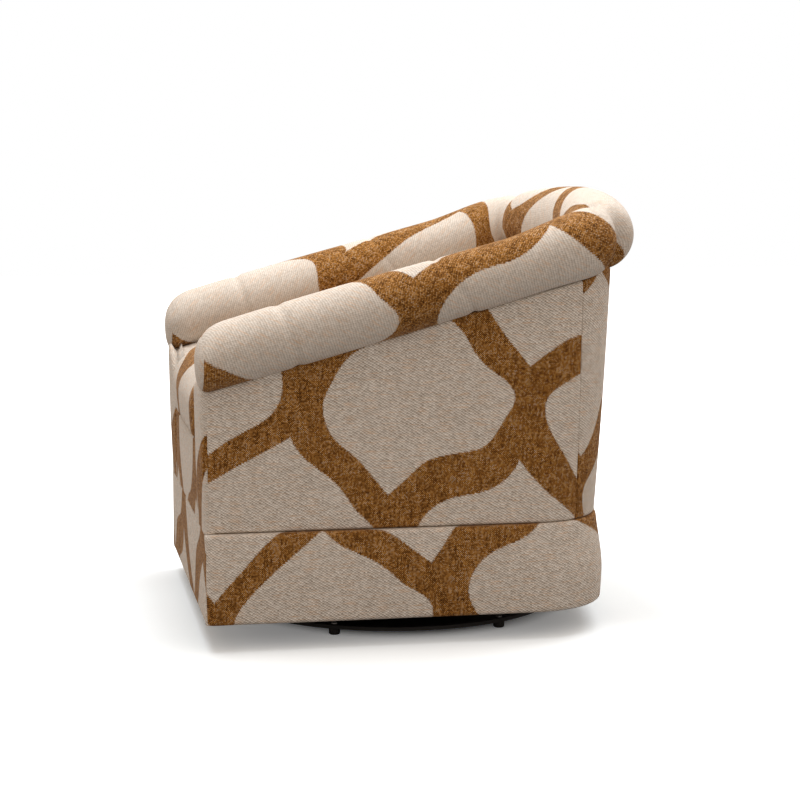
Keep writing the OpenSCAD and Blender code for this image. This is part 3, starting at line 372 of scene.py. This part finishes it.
def outline(s, out=0.0, lean=0.0):
    """x, y and outward angle at distance s along the outline: 0 where the right rear corner starts,
    REAR_L where the left one ends, and a straight side beyond both. It runs as an arc of radius CORNER
    round each corner and one of BOW_R across the back. out is measured along the outward normal. lean
    moves the back, and the sides in proportion to their distance from the front."""
    s, out, lean = np.broadcast_arrays(np.asarray(s, float), out, lean)
    left = s > REAR_L / 2
    t = np.where(left, REAR_L - s, s)
    arc = CORNER * TURN
    a = np.where(t < 0, 0.0, np.where(t < arc, t / CORNER, TURN + (t - arc) / BOW_R))
    bow = t >= arc
    r = np.where(bow, BOW_R, CORNER) + out
    x = np.where(t < 0, HALF + out, np.where(bow, 0.0, HALF - CORNER) + r * np.cos(a))
    middle_y = np.where(bow, CORNER_Y + (BOW_R - CORNER) * -math.cos(BOW), CORNER_Y)
    y = np.where(t < 0, CORNER_Y + t + lean * (1 + t / SIDE_L), middle_y + r * np.sin(a) + lean)
    return np.where(left, -x, x), y, np.where(left, math.pi - a, a)


def along(s):
    """Distance along the roll's middle from the start of the rear corner, the same from both sides."""
    t = np.minimum(s, REAR_L - s)
    arc = CORNER * TURN
    round_corner = t * ROLL_CORNER / CORNER
    return np.where(t < 0, t, np.where(t < arc, round_corner, t - arc + arc * ROLL_CORNER / CORNER))


def under_roll(s):
    """Height of the rolls' underside: a straight climb of 15.4 degrees on the arms, which levels out
    behind the corner as 1 - exp(-distance / 180)."""
    t = along(s)
    rise = CLIMB * (SIDE_L + LEAN)
    behind = ARM_Z + rise + CLIMB * LEVELLING * (1 - np.exp(-np.maximum(t, 0) / LEVELLING))
    return np.where(t < 0, ARM_Z + rise * (1 + t / SIDE_L), behind)


def roll_points(s, th, share=1.0):
    """Points of a roll for distances s (rows) and angles th (columns, 0 outwards, 90 degrees up): circles
    about a middle that stands one radius above the underside. The radius is 59 and grows to 64 where the
    corner starts, less a bell at the seam and at each tuck, times share. The seam's pull is strongest below
    and outside and fades to a quarter of itself towards the top and the seat."""
    t = along(s)
    gain = smooth((t - GAIN_START) / GAIN_RUN)
    full = ROLL_R + ROLL_GAIN * gain
    behind_front = t + SIDE_L + LEAN
    outside = np.clip(np.cos(th + SEAM_TURN), 0, 1) ** SEAM_POWER
    pull = SEAM_PULL * bell((t - ROLL_CORNER * SEAM) / SEAM_RUN) * (SEAM_ROUND + (1 - SEAM_ROUND) * outside)
    slant = TUCK_SLANT * (1 - np.sin(th))
    deep, place, width = NOSE_TUCK
    tucks = deep * bell((behind_front - place) / width)
    for deep, place, slanting, width in TUCKS:
        tucks = tucks + deep * bell((behind_front - place - slanting * slant) / width)
    fade = smooth((behind_front - SWELL_START) / SWELL_FADE)
    swell = SWELL * np.sin((behind_front - SWELL_FROM) / SWELL_RUN) * fade
    r = (full - pull - tucks + swell) * share
    x, y, a = outline(s, -(INSET + INSET_GAIN * gain), LEAN)
    z = under_roll(s) + full
    out = r * np.cos(th)
    return np.stack([x + out * np.cos(a), y + out * np.sin(a), z + r * np.sin(th)], -1)


def surface(name, points, uvs, material, flip=False):
    """A closed skin over a grid of points in millimetres, (rows, columns, 3): each row is a ring, and a
    fan to its middle closes the first and the last. uvs is (rows, columns + 1, 2) in metres, because the
    first column has a second place at the ring's joint. flip turns the faces round."""
    rows, cols = points.shape[:2]
    i, j = np.meshgrid(np.arange(rows - 1), np.arange(cols), indexing="ij")
    k = (j + 1) % cols
    quads = np.stack([i * cols + j, i * cols + k, (i + 1) * cols + k, (i + 1) * cols + j], -1).reshape(-1, 4)
    quad_uv = np.stack([uvs[i, j], uvs[i, j + 1], uvs[i + 1, j + 1], uvs[i + 1, j]], 2).reshape(-1, 4, 2)
    c = np.arange(cols)
    n = (c + 1) % cols
    last = (rows - 1) * cols
    tris = np.concatenate([np.stack([n, c, np.full(cols, rows * cols)], -1),
                           np.stack([last + c, last + n, np.full(cols, rows * cols + 1)], -1)])
    first_mid, last_mid = [np.repeat(uvs[end, :cols].mean(0)[None], cols, 0) for end in (0, -1)]
    tri_uv = np.concatenate([np.stack([uvs[0, n], uvs[0, c], first_mid], 1),
                             np.stack([uvs[-1, c], uvs[-1, n], last_mid], 1)])
    if flip:
        quads, quad_uv, tris, tri_uv = [part[:, ::-1] for part in (quads, quad_uv, tris, tri_uv)]
    middles = np.stack([points[0].mean(0), points[-1].mean(0)])
    verts = np.concatenate([points.reshape(-1, 3), middles]) / 1000
    starts = np.concatenate([np.arange(len(quads)) * 4, quads.size + np.arange(len(tris)) * 3])
    mesh = bpy.data.meshes.new(name)
    mesh.vertices.add(len(verts))
    mesh.vertices.foreach_set("co", verts.ravel())
    mesh.loops.add(quads.size + tris.size)
    mesh.loops.foreach_set("vertex_index", np.concatenate([quads.ravel(), tris.ravel()]))
    mesh.polygons.add(len(starts))
    mesh.polygons.foreach_set("loop_start", starts)
    mesh.polygons.foreach_set("use_smooth", np.full(len(starts), True))
    mesh.uv_layers.new(name="cloth").data.foreach_set("uv", np.concatenate([quad_uv.ravel(), tri_uv.ravel()]))
    mesh.update()
    mesh.validate()
    mesh.materials.append(material)
    obj = bpy.data.objects.new(name, mesh)
    scene.collection.objects.link(obj)
    return obj


def upholster(obj, *nodes, fill=0.0, slot="cloth"):
    """The piece rides on the chair and stands for its CAD nodes; slot is not used. fill is how full it is
    stuffed, and 0 for cloth pulled over a frame, but it is not used."""
    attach(obj, "chair")
    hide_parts(*nodes)


front = -SIDE_L - NOSE_AHEAD * SIDE_L / (SIDE_L + LEAN)
face = NOSE_FACE * np.linspace(0, 1, 14)[1:] ** FACE_SPACING
tube_start = NOSE_FACE + FACE_GAP
rounding = tube_start + (NOSE_RUN - tube_start) * np.linspace(0, 1, 14)[:-1]
d = np.concatenate([face, rounding, np.linspace(NOSE_RUN, CORNER * SEAM - front, 420)])[:, None]
th = np.linspace(JOINT_TURN, 2 * math.pi + JOINT_TURN, 121)[None, :]
reach = NOSE_RUN + NOSE_TOP * np.clip(np.sin(th), 0, 1) ** NOSE_TOP_POWER
reach = reach + NOSE_INSIDE * np.clip(np.cos(th - NOSE_INSIDE_TURN), 0, 1) ** NOSE_INSIDE_POWER
share = (1 - np.clip(1 - d / reach, 0, 1) ** NOSE_POWER) ** (1 / NOSE_POWER)
points = roll_points(front + d, th, share)[:, :-1]
uv = np.stack(np.broadcast_arrays((front + d) / 1000, th * ARM_MAP_R), -1)
on_face = share[:len(face), :, None] * np.stack([np.cos(th), np.sin(th)], -1)
uv[:len(face)] = NOSE_MAP_R * on_face + NOSE_MAP_SHIFT
roll_cloths = (("right", 1, cloth("cloth_arm_roll_right", (30, 95), 0.25, 0.75, 0.5)),
               ("left", -1, cloth("cloth_arm_roll_left", (210, -40), -0.3, 0.75, 0.45)))
for side, mirror, roll_cloth in roll_cloths:
    roll = surface("arm_roll_" + side, points * (mirror, 1, 1), uv, roll_cloth, flip=mirror > 0)
    upholster(roll, "arm_rolls", fill=ROLL_FILL)

# Back roll
# The same stuffed roll at its full thickness, sewn to the arm rolls at the two corner seams. It rises by
# another 21 mm from there to the middle of the bowed back, and has its own cut of the cloth.
BACK_MAP_R = 0.066

s = np.linspace(CORNER * SEAM, REAR_L - CORNER * SEAM, 320)[:, None]
uv = np.stack(np.broadcast_arrays(s / 1000, th * BACK_MAP_R), -1)
back_cloth = cloth("cloth_back_roll", (-60, 180), 0.1, 0.75, 0.5)
back_roll = surface("back_roll", roll_points(s, th)[:, :-1], uv, back_cloth, flip=True)
upholster(back_roll, "back_roll", fill=ROLL_FILL)

# Inside arms and inside back
# One deep padding all round the seat, tacked down at the deck. It starts in a crease against the roll and
# swells out over the seat on the arms, and slopes down more evenly at the back.
WALL_IN = 44.0
DECK_Z = 357.4
# the deck and the back roll stand this high above the plinth, and the back leans in proportion
DECK_RISE, BACK_RISE = 144.0, 450.0
DECK_LEAN = LEAN * (1 - DECK_RISE / BACK_RISE)
# on the arms and on the back: how far below the roll's middle the crease lies and how much more of the
# roll's underside the padding follows, in degrees, and the power of its swell
CREASE_BELOW, CREASE_WRAP, PAD_POWER = (58, 30), (2, 26), (3.1, 1.6)
# the padding's skin lies this much outside that of the roll
ROLL_CLEARANCE = 1.008
SEAT_HALF, FOOT_CORNER, FOOT_DEPTH = 238.0, 90.0, 570.0
FOOT_BEHIND, PAD_BEHIND = 8.0, 8.3
PAD_FILL, PAD_DEPTH = 0.8, 0.65


def pad_points(s, steps=54):
    """Rings of the padding at distances s: up the outer wall, round the roll's underside to the crease,
    along the superellipse height = 1 - (1 - out ** power) ** (1 / power) to the foot on the deck, and back.
    The foot runs along the seat, round corners of 90 and across behind it."""
    arc = CORNER * TURN
    w = smooth(along(s) / (ROLL_CORNER * TURN))
    wall_x, wall_y, _ = outline(s, -WALL_IN, LEAN)
    low_y = wall_y - np.where(along(s) >= 0, DECK_LEAN, 0)
    wrap = CREASE_WRAP[0] + (CREASE_WRAP[1] - CREASE_WRAP[0]) * w
    below = CREASE_BELOW[0] + (CREASE_BELOW[1] - CREASE_BELOW[0]) * w + wrap * np.linspace(1, 0, 9)[None, :]
    under = roll_points(s, math.pi + np.radians(below), ROLL_CLEARANCE)
    crease = under[:, -1:]
    m = np.minimum(s, REAR_L - s)
    corner_x, corner_y = SEAT_HALF - FOOT_CORNER, FRONT + FOOT_DEPTH - FOOT_CORNER
    b = np.clip(m / arc, 0, 1) * math.pi / 2
    behind = np.clip((m - arc) / (REAR_L / 2 - arc), 0, 1)
    round_x = np.where(behind > 0, corner_x * (1 - behind), corner_x + FOOT_CORNER * np.cos(b))
    foot_x = np.where(m < 0, SEAT_HALF, round_x)
    side_y = corner_y + (corner_y - FRONT - FOOT_BEHIND) * m / SIDE_L
    foot_y = np.where(m < 0, side_y, corner_y + FOOT_CORNER * np.sin(b))
    foot_x = np.where(s > REAR_L / 2, -foot_x, foot_x)
    foot = np.stack([foot_x, foot_y, np.full_like(foot_x, DECK_Z)], -1)
    out = np.sin(np.linspace(0, math.pi / 2, steps))[None, 1:, None]
    power = (PAD_POWER[0] + (PAD_POWER[1] - PAD_POWER[0]) * w)[:, :, None]
    down = 1 - (1 - out ** power) ** (1 / power)
    out = np.broadcast_to(out, down.shape)
    face = crease + (foot - crease) * np.concatenate([out, out, down], 2)
    low = np.stack([wall_x, low_y, np.full_like(wall_x, DECK_Z)], -1)
    top = np.stack([wall_x, wall_y, under_roll(s)], -1)
    return np.concatenate([low, top, under, face], 1)


side_end = SIDE_L - PAD_BEHIND
pads = (("inside_arm_right", "inside_arms", np.linspace(-side_end, 0, 120),
         cloth("cloth_inside_right", (10, 60), 0.2, depth=PAD_DEPTH)),
        ("inside_arm_left", "inside_arms", np.linspace(REAR_L, REAR_L + side_end, 120),
         cloth("cloth_inside_left", (-90, 20), 0.1, depth=PAD_DEPTH)),
        ("inside_back", "inside_back", np.linspace(0, REAR_L, 260),
         cloth("cloth_inside_back", (70, -30), 0.0, depth=PAD_DEPTH)))
for name, cad_node, s, pad_cloth in pads:
    points = pad_points(s[:, None])
    stride = np.linalg.norm(np.diff(np.concatenate([points, points[:, :1]], 1), axis=1), axis=2)
    v = np.concatenate([np.zeros((len(s), 1)), np.cumsum(stride, 1)], 1)
    uv = np.stack([np.broadcast_to(s[:, None], v.shape), v], -1) / 1000
    upholster(surface(name, points, uv, pad_cloth), cad_node, fill=PAD_FILL)

# Outside panels
# Cloth pulled over the frame: a slight swell, a rolled edge all round, and plain seams at the rear
# corners, where the arm panels meet the outside back. They hang from under the roll down to the plinth.
PLINTH_TOP, SLIT = 213.0, 0.4
PANEL_SWELL, PANEL_DEPTH, PANEL_EDGE, PANEL_END = 2.0, 14.0, 6.0, 3.0
# how far the panel's top reaches up behind the roll, and what it gains behind the roll's seam
PANEL_TUCK, SEAM_TUCK, SEAM_TUCK_RUN = 3.0, 14.0, 26.0
# where the corner seams stand round the corner, at the plinth and under the roll
LOW_SEAM, HIGH_SEAM = CORNER * math.radians(34.5), CORNER * math.radians(25)
PANEL_BEHIND, END_FADE, END_SHARE = 1.0, 40.0, 0.6


def slab(name, ends, low, high, lean_at, profile, material, depth, edge, end_r, rows=160):
    """A padded panel along the outline between the heights low(s) and high(s). ends holds its first and
    last distance s at the bottom and at the top. Its face stands profile(height share, s) outside the
    outline, which draws in towards both ends as smooth(distance / 40 + 0.6). It is rounded by edge at top
    and bottom and by end_r at both ends, and its back lies depth inside. lean_at(z, s) is its lean. Its
    map is the distance along it and the length of its profile."""
    (low_start, low_end), (high_start, high_end) = ends
    end_steps = end_r * (0.5 - 0.5 * np.cos(np.linspace(0, math.pi, 15))) / (low_end - low_start)
    between = np.linspace(end_steps[-1], 1 - end_steps[-1], rows)
    f = np.concatenate([end_steps[:-1], between, (1 - end_steps[::-1])[1:]])[:, None]
    s_low = low_start + (low_end - low_start) * f
    s_high = high_start + (high_end - high_start) * f
    d = np.minimum(f, 1 - f) * (low_end - low_start)
    end_in = end_r * (1 - np.sqrt(np.clip(1 - np.clip(1 - d / end_r, 0, 1) ** 2, 0, 1)))
    q = np.linspace(0, math.pi / 2, 8)
    z_share = np.linspace(0, 1, 26)[1:-1]
    lo, hi = low(s_low), high(s_high)
    inwards = np.concatenate([[0], -edge + edge * np.sin(q), z_share * 0, -edge + edge * np.cos(q), [0]])
    z = np.concatenate([lo, lo + edge - edge * np.cos(q), lo + edge + (hi - lo - 2 * edge) * z_share,
                        hi - edge + edge * np.sin(q), hi], 1)
    rel = (z - lo) / (hi - lo)
    s = s_low + (s_high - s_low) * rel
    on_face = np.concatenate([[False], np.full(z.shape[1] - 2, True), [False]])[None, :]
    proud = inwards[None, :] + profile(rel, s) * smooth(d / END_FADE + END_SHARE) - end_in
    out = np.where(on_face, proud, -depth)
    x, y, _ = outline(s, out, lean_at(z, s_high))
    v = np.cumsum(np.hypot(np.diff(z, axis=1, prepend=z[:, :1]), np.diff(out, axis=1, prepend=out[:, :1])), 1)
    uv = np.stack([np.concatenate([s, s[:, :1]], 1), np.concatenate([v, v[:, -1:] + hi - lo], 1)], -1) / 1000
    return surface(name, np.stack([x, y, z], -1), uv, material)


def body_lean(z, s):
    """The lean grows evenly from nothing at the plinth to all of it under the roll."""
    return LEAN * (z - PLINTH_TOP) / (under_roll(s) - PLINTH_TOP)


def panel_profile(rel, s):
    """A swell of 2 as half a sine over the height."""
    return PANEL_SWELL * np.sin(math.pi * rel)


def panel_low(s):
    """A slit above the plinth."""
    return PLINTH_TOP + SLIT + 0 * s


def panel_high(s):
    """3 above the roll's underside, and as much as the seam pulls up in the corner."""
    return under_roll(s) + PANEL_TUCK + SEAM_TUCK * bell((along(s) - ROLL_CORNER * SEAM) / SEAM_TUCK_RUN)


side_end = SIDE_L - PANEL_BEHIND
panels = (("outside_arm_right", "outside_arms", ((-side_end, LOW_SEAM), (-side_end, HIGH_SEAM)),
           cloth("cloth_outside_right", (60, 40), 0.12)),
          ("outside_arm_left", "outside_arms",
           ((REAR_L - LOW_SEAM, REAR_L + side_end), (REAR_L - HIGH_SEAM, REAR_L + side_end)),
           cloth("cloth_outside_left", (-150, 90), -0.2)),
          ("outside_back", "outside_back", ((LOW_SEAM, REAR_L - LOW_SEAM), (HIGH_SEAM, REAR_L - HIGH_SEAM)),
           cloth("cloth_outside_back", (140, -60), 0.05)))
for name, cad_node, ends, panel_cloth in panels:
    panel = slab(name, ends, panel_low, panel_high, body_lean, panel_profile, panel_cloth,
                 PANEL_DEPTH, PANEL_EDGE, PANEL_END)
    upholster(panel, cad_node)

# Plinth
# Cloth over padded boards, 164 mm high, which stand out from the body all round. The band wraps both front
# corners, and across the back it is drawn in at the top and bulges most in the middle.
PLINTH_FOOT, PLINTH_OUT = 49.0, 13.0
PLINTH_SWELL, REAR_SWELL, REAR_DRAWN = 2.5, 1.5, 9.0
REAR_FADE, DRAWN_FROM = 160.0, 0.3
PLINTH_WRAP, PLINTH_DEPTH, PLINTH_EDGE, PLINTH_END = 4.6, 17.0, 7.0, 4.0
BOARD_HALF, BOARD_AHEAD, BOARD_IN, BOARD_EDGE, BOARD_SWELL, BOARD_FADE = 374.0, 5.0, 0.5, 3.0, 1.0, 60.0


def no_lean(z, s):
    """The plinth stands upright."""
    return 0.0 * z


def plinth_profile(rel, s):
    """13 out and a swell as half a sine. Behind, it swells more and is drawn in above 0.3 of its height."""
    rear = smooth((np.minimum(s, REAR_L - s) + REAR_FADE / 2) / REAR_FADE)
    swell = (PLINTH_SWELL + REAR_SWELL * rear) * np.sin(math.pi * rel)
    return PLINTH_OUT + swell - REAR_DRAWN * rear * smooth((rel - DRAWN_FROM) / (1 - DRAWN_FROM))


def plinth_low(s):
    """The plinth's foot, level all round."""
    return PLINTH_FOOT + 0 * s


def plinth_high(s):
    """The plinth's top, level all round."""
    return PLINTH_TOP - SLIT + 0 * s


def board(name, half, front, rear, low, high, edge, swell, material):
    """A straight padded board between the heights low and high, half wide to each side. Its front face is
    rounded by edge at top, bottom and both ends, and swells forward as half a sine over the height, less
    within 60 of the ends. Its map is its width and height."""
    q = np.linspace(0, math.pi / 2, 8)
    f = np.concatenate([1 - np.cos(q[:-1]), np.linspace(1, 2, 80), 3 - (1 - np.cos(q))[::-1][1:]])
    middle_x = edge - half + 2 * (half - edge) * (f - 1)
    x = np.where(f <= 1, edge * f - half, np.where(f < 2, middle_x, half - edge * (3 - f)))
    d = np.minimum(x + half, half - x)
    end_in = (edge * (1 - np.sqrt(1 - np.clip(1 - d / edge, 0, 1) ** 2)))[:, None]
    straight = np.linspace(low + edge, high - edge, 22)[1:-1]
    z = np.concatenate([[low], low + edge - edge * np.cos(q), straight,
                        high - edge + edge * np.sin(q), [high]])
    y = np.concatenate([[rear], front + edge - edge * np.sin(q), 0 * straight + front,
                        front + edge - edge * np.cos(q), [rear]])[None, :]
    bulge = swell * np.sin(math.pi * (z - low) / (high - low)) * smooth(d / BOARD_FADE)[:, None]
    on_face = np.concatenate([[0], np.ones(len(z) - 2), [0]])[None, :]
    points = np.stack(np.broadcast_arrays(x[:, None], y + on_face * (end_in - bulge), z[None, :]), -1)
    z_closed = np.append(z, z[0])[None, :]
    uv = np.stack(np.broadcast_arrays(x[:, None], z_closed), -1) / 1000
    return surface(name, points, uv, material, flip=True)


band_end = SIDE_L + PLINTH_WRAP
band_ends = ((-band_end, REAR_L + band_end),) * 2
plinth_cloth = cloth("cloth_plinth", (-40, -70), -0.1)
plinth_band = slab("plinth_band", band_ends, plinth_low, plinth_high, no_lean, plinth_profile, plinth_cloth,
                   PLINTH_DEPTH, PLINTH_EDGE, PLINTH_END, rows=420)
upholster(plinth_band, "plinth_sides", "plinth_back")
# the front board stands between the band's ends, half a millimetre inside its top and foot
front_cloth = cloth("cloth_plinth_front", (90, 20), 0.0)
plinth_front = board("plinth_front", BOARD_HALF, FRONT - BOARD_AHEAD, FRONT + PLINTH_OUT,
                     PLINTH_FOOT + BOARD_IN, PLINTH_TOP - SLIT - BOARD_IN, BOARD_EDGE, BOARD_SWELL,
                     front_cloth)
upholster(plinth_front, "plinth_front")

# Front border
# A padded board under the cushion, covered in cloth, whose ends run just inside the arm fronts. Its face
# stands less far forward than theirs, except at the foot, and its top ends just below the deck.
BORDER_TOP, BORDER_OVER = 357.0, 1.0
BORDER_AHEAD, BORDER_BACK, BORDER_EDGE, BORDER_SWELL = 6.5, 8.0, 4.0, 1.5
BORDER_DEPTH = 0.65

border_cloth = cloth("cloth_border", (10, 160), 0.0, depth=BORDER_DEPTH)
border = board("front_border", SEAT_HALF + BORDER_OVER, FRONT - BORDER_AHEAD, FRONT + BORDER_BACK,
               PLINTH_TOP + SLIT, BORDER_TOP, BORDER_EDGE, BORDER_SWELL, border_cloth)
upholster(border, "front_border")

# Arm fronts
# A padded board under each nose, covered in cloth, whose inner edge follows the shoulder of the inside arm.
# Its rounded top tucks up inside the nose, and its cloth runs on round its sides.

# The top edge: an arc about the roll's middle in degrees, and then the inside arm's own curve to the deck.
TOP_ARC, TOP_R = (-105.8, -62), 44.0
FRONT_AHEAD, TOP_AHEAD, FRONT_SWELL, SWELL_SHARE = 6.0, 4.0, 5.0, 0.5
SIDE_ROUND, OUTER_EDGE, INNER_EDGE, INNER_X = 9.0, 10.0, 6.0, 236.0
TOP_ROUND, TOP_ROUND_FROM = 6.0, 0.965
# shares of the height at which the rows lie, closer together at the foot and at the top
LOW_LEVEL, LOW_SPACING, HIGH_LEVEL, LAST_LEVELS = 0.08, 1.5, 0.97, [0.99, 1.0]
FRONT_REAR = 12.0
# the map runs on outwards round the outer side and inwards round the inner one, by the distance behind
# this much ahead of the front, and changes over within 60 of the panel's middle
MAP_FRONT, MAP_MIDDLE, MAP_TURN = 15.0, 301.0, 60.0
FRONT_DEPTH = 0.65

th = np.radians(np.linspace(*TOP_ARC, 18))
arc_x = HALF - INSET - TOP_R * np.cos(th)
arc_z = ARM_Z + ROLL_R + TOP_R * np.sin(th)
out = np.sin(np.linspace(0, math.pi / 2, 26))[1:]
down = 1 - (1 - out ** PAD_POWER[0]) ** (1 / PAD_POWER[0])
top_x = np.concatenate([arc_x, arc_x[-1] + (SEAT_HALF - arc_x[-1]) * out])
top_z = np.concatenate([arc_z, arc_z[-1] + (BORDER_TOP - arc_z[-1]) * down])
low_levels = LOW_LEVEL * np.linspace(0, 1, 9) ** LOW_SPACING
levels = np.concatenate([low_levels, np.linspace(LOW_LEVEL, HIGH_LEVEL, 22)[1:], LAST_LEVELS])[:, None]
foot_z = PLINTH_TOP + SLIT
face = np.stack(np.broadcast_arrays(top_x[None, :], FRONT, foot_z + (top_z - foot_z)[None, :] * levels), -1)
x = face[..., 0]
from_side = np.minimum(np.clip((HALF - x) / OUTER_EDGE, 0, 1), np.clip((x - INNER_X) / INNER_EDGE, 0, 1))
rounded = SIDE_ROUND * (1 - np.sqrt(np.clip(1 - (1 - from_side) ** 2, 0, 1)))
face[..., 1] += rounded - FRONT_AHEAD - TOP_AHEAD * levels
swell = np.sin(math.pi * np.clip((HALF - x) / (HALF - INNER_X), 0, 1)) * smooth(levels / SWELL_SHARE)
face[..., 1] -= FRONT_SWELL * swell
face[..., 1] += TOP_ROUND * np.clip((levels - TOP_ROUND_FROM) / (1 - TOP_ROUND_FROM), 0, 1) ** 2
back = face[:, ::-1].copy()
back[..., 1] = FRONT + FRONT_REAR
points = np.concatenate([face, back], 1)
closed = np.concatenate([points, points[:, :1]], 1)
behind = closed[..., 1] - (FRONT - MAP_FRONT)
u = closed[..., 0] + behind * np.clip((closed[..., 0] - MAP_MIDDLE) / MAP_TURN, -1, 1)
for side, mirror in (("right", 1), ("left", -1)):
    uv = np.stack([mirror * u, closed[..., 2]], -1) / 1000
    arm_cloth = cloth("cloth_arm_front_" + side, (mirror * 120, 30), 0.0, depth=FRONT_DEPTH)
    arm_front = surface("arm_front_" + side, points * (mirror, 1, 1), uv, arm_cloth, flip=mirror > 0)
    upholster(arm_front, "arm_fronts")

# Deck pad and seat cushion
# A thin grey felt pad over the springs, and on it the loose, full cushion, whose crowned top falls over
# the front edge in one soft curve. The pad is cut and pressed like a flat cushion, wider than the seat.

# The cushion's heights: its rounded lower edge, its sides and its crown.
LOWER_EDGE, SIDE_RISE, CROWN, CROWN_POWER = 17.0, 45.0, 98.0, 5
SIDE_BULGE, BULGE_HEIGHT, BULGE_FROM = 5.0, 120.0, 0.8
# shares of the way out from the middle: first and last ring of the underside, and its rounded edge
UNDER_SHARES, EDGE_SHARE, TOP_SPACING = (0.02, 0.93), 0.935, 0.45
CUSHION_HALF, CUSHION_AHEAD, CUSHION_REAR, CUSHION_CORNERS = 231.0, 11.0, 564.0, (34.0, 88.0)
CUSHION_MIDDLE, CUSHION_DEPTH = 277.0, 0.65
DECK_HALF, DECK_FRONT, DECK_REAR, DECK_CORNERS = 336.0, 10.0, 715.0, (8.0, 110.0)
DECK_MIDDLE, DECK_PAD_Z, DECK_PAD_THICK = 360.0, 344.4, 12.4
SEAT_FILL = 0.9


def oblong(half, front, rear, corners, bend=16, run=30):
    """A rounded oblong, turning anticlockwise from the front edge's right end: four straight runs and
    four quarter circles, whose radii are corners, first in front and then behind."""
    r0, r1 = corners
    a = np.linspace(0, math.pi / 2, bend)
    f = np.linspace(0, 1, run)[1:-1]
    parts = [(half - r0 + r0 * np.sin(a), front + r0 - r0 * np.cos(a)),
             (0 * f + half, front + r0 + (rear - r1 - front - r0) * f),
             (half - r1 + r1 * np.cos(a), rear - r1 + r1 * np.sin(a)),
             ((half - r1) * (1 - 2 * f), 0 * f + rear),
             (-half + r1 - r1 * np.sin(a), rear - r1 + r1 * np.cos(a)),
             (0 * f - half, rear - r1 + (front + r0 - rear + r1) * f),
             (-half + r0 - r0 * np.cos(a), front + r0 - r0 * np.sin(a)),
             ((r0 - half) * (1 - 2 * f), 0 * f + front)]
    return np.concatenate([part[0] for part in parts]), np.concatenate([part[1] for part in parts])


def cushion_points(x, y, middle, foot_z):
    """Rows from the middle of the underside, out round the sides and back to the middle of the top. The
    sides bulge by 5 as a sine up to a height of 62; the top falls to them as the waterfall
    62 + 98 sqrt(1 - share ** 5), share being the distance from the middle over that of the sides.
    The cloth map grows outwards from the middle of the top with the length of this profile."""
    side_z = LOWER_EDGE + SIDE_RISE
    q = np.linspace(0, math.pi / 2, 9)
    under = np.linspace(*UNDER_SHARES, 14)
    side = np.linspace(0, 1, 14)[1:-1]
    top = np.sin(np.linspace(math.pi / 2, 0, 60))[1:-1] ** TOP_SPACING
    share = np.concatenate([under, EDGE_SHARE + (1 - EDGE_SHARE) * np.sin(q), 0 * side + 1, top])
    z = np.concatenate([0 * under, LOWER_EDGE * (1 - np.cos(q)), LOWER_EDGE + SIDE_RISE * side,
                        side_z + CROWN * np.sqrt(1 - top ** CROWN_POWER)])
    fade = smooth((share - BULGE_FROM) / (1 - BULGE_FROM))
    bulge = SIDE_BULGE * np.sin(math.pi * np.clip(z / BULGE_HEIGHT, 0, 1)) * fade
    r = np.hypot(x, y - middle)
    reach = share[:, None] + bulge[:, None] / r[None, :]
    points = np.stack([x[None, :] * reach, middle + (y - middle)[None, :] * reach,
                       np.broadcast_to(foot_z + z[:, None], reach.shape)], -1)
    steps = np.hypot(np.diff(share[::-1] * r.mean(), prepend=0), np.diff(z[::-1], prepend=side_z + CROWN))
    run = np.cumsum(steps)[::-1] / r.mean()
    uv = np.stack([x[None, :] * run[:, None], (y - middle)[None, :] * run[:, None]], -1) / 1000
    return points, np.concatenate([uv, uv[:, :1]], 1)


x, y = oblong(DECK_HALF, FRONT + DECK_FRONT, FRONT + DECK_REAR, DECK_CORNERS)
points, uv = cushion_points(x, y, FRONT + DECK_MIDDLE, DECK_PAD_Z)
pressed = DECK_PAD_THICK / (LOWER_EDGE + SIDE_RISE + CROWN)
points[..., 2] = DECK_PAD_Z + (points[..., 2] - DECK_PAD_Z) * pressed
deck_pad = surface("deck_pad", points, uv, finishes["felt"], flip=True)
upholster(deck_pad, "deck_pad", fill=SEAT_FILL, slot="felt")

x, y = oblong(CUSHION_HALF, FRONT - CUSHION_AHEAD, FRONT + CUSHION_REAR, CUSHION_CORNERS)
points, uv = cushion_points(x, y, FRONT + CUSHION_MIDDLE, DECK_Z)
cushion_cloth = cloth("cloth_cushion", (40, 110), 0.15, depth=CUSHION_DEPTH)
cushion = surface("seat_cushion", points, uv, cushion_cloth, flip=True)
upholster(cushion, "seat_cushion", fill=SEAT_FILL)
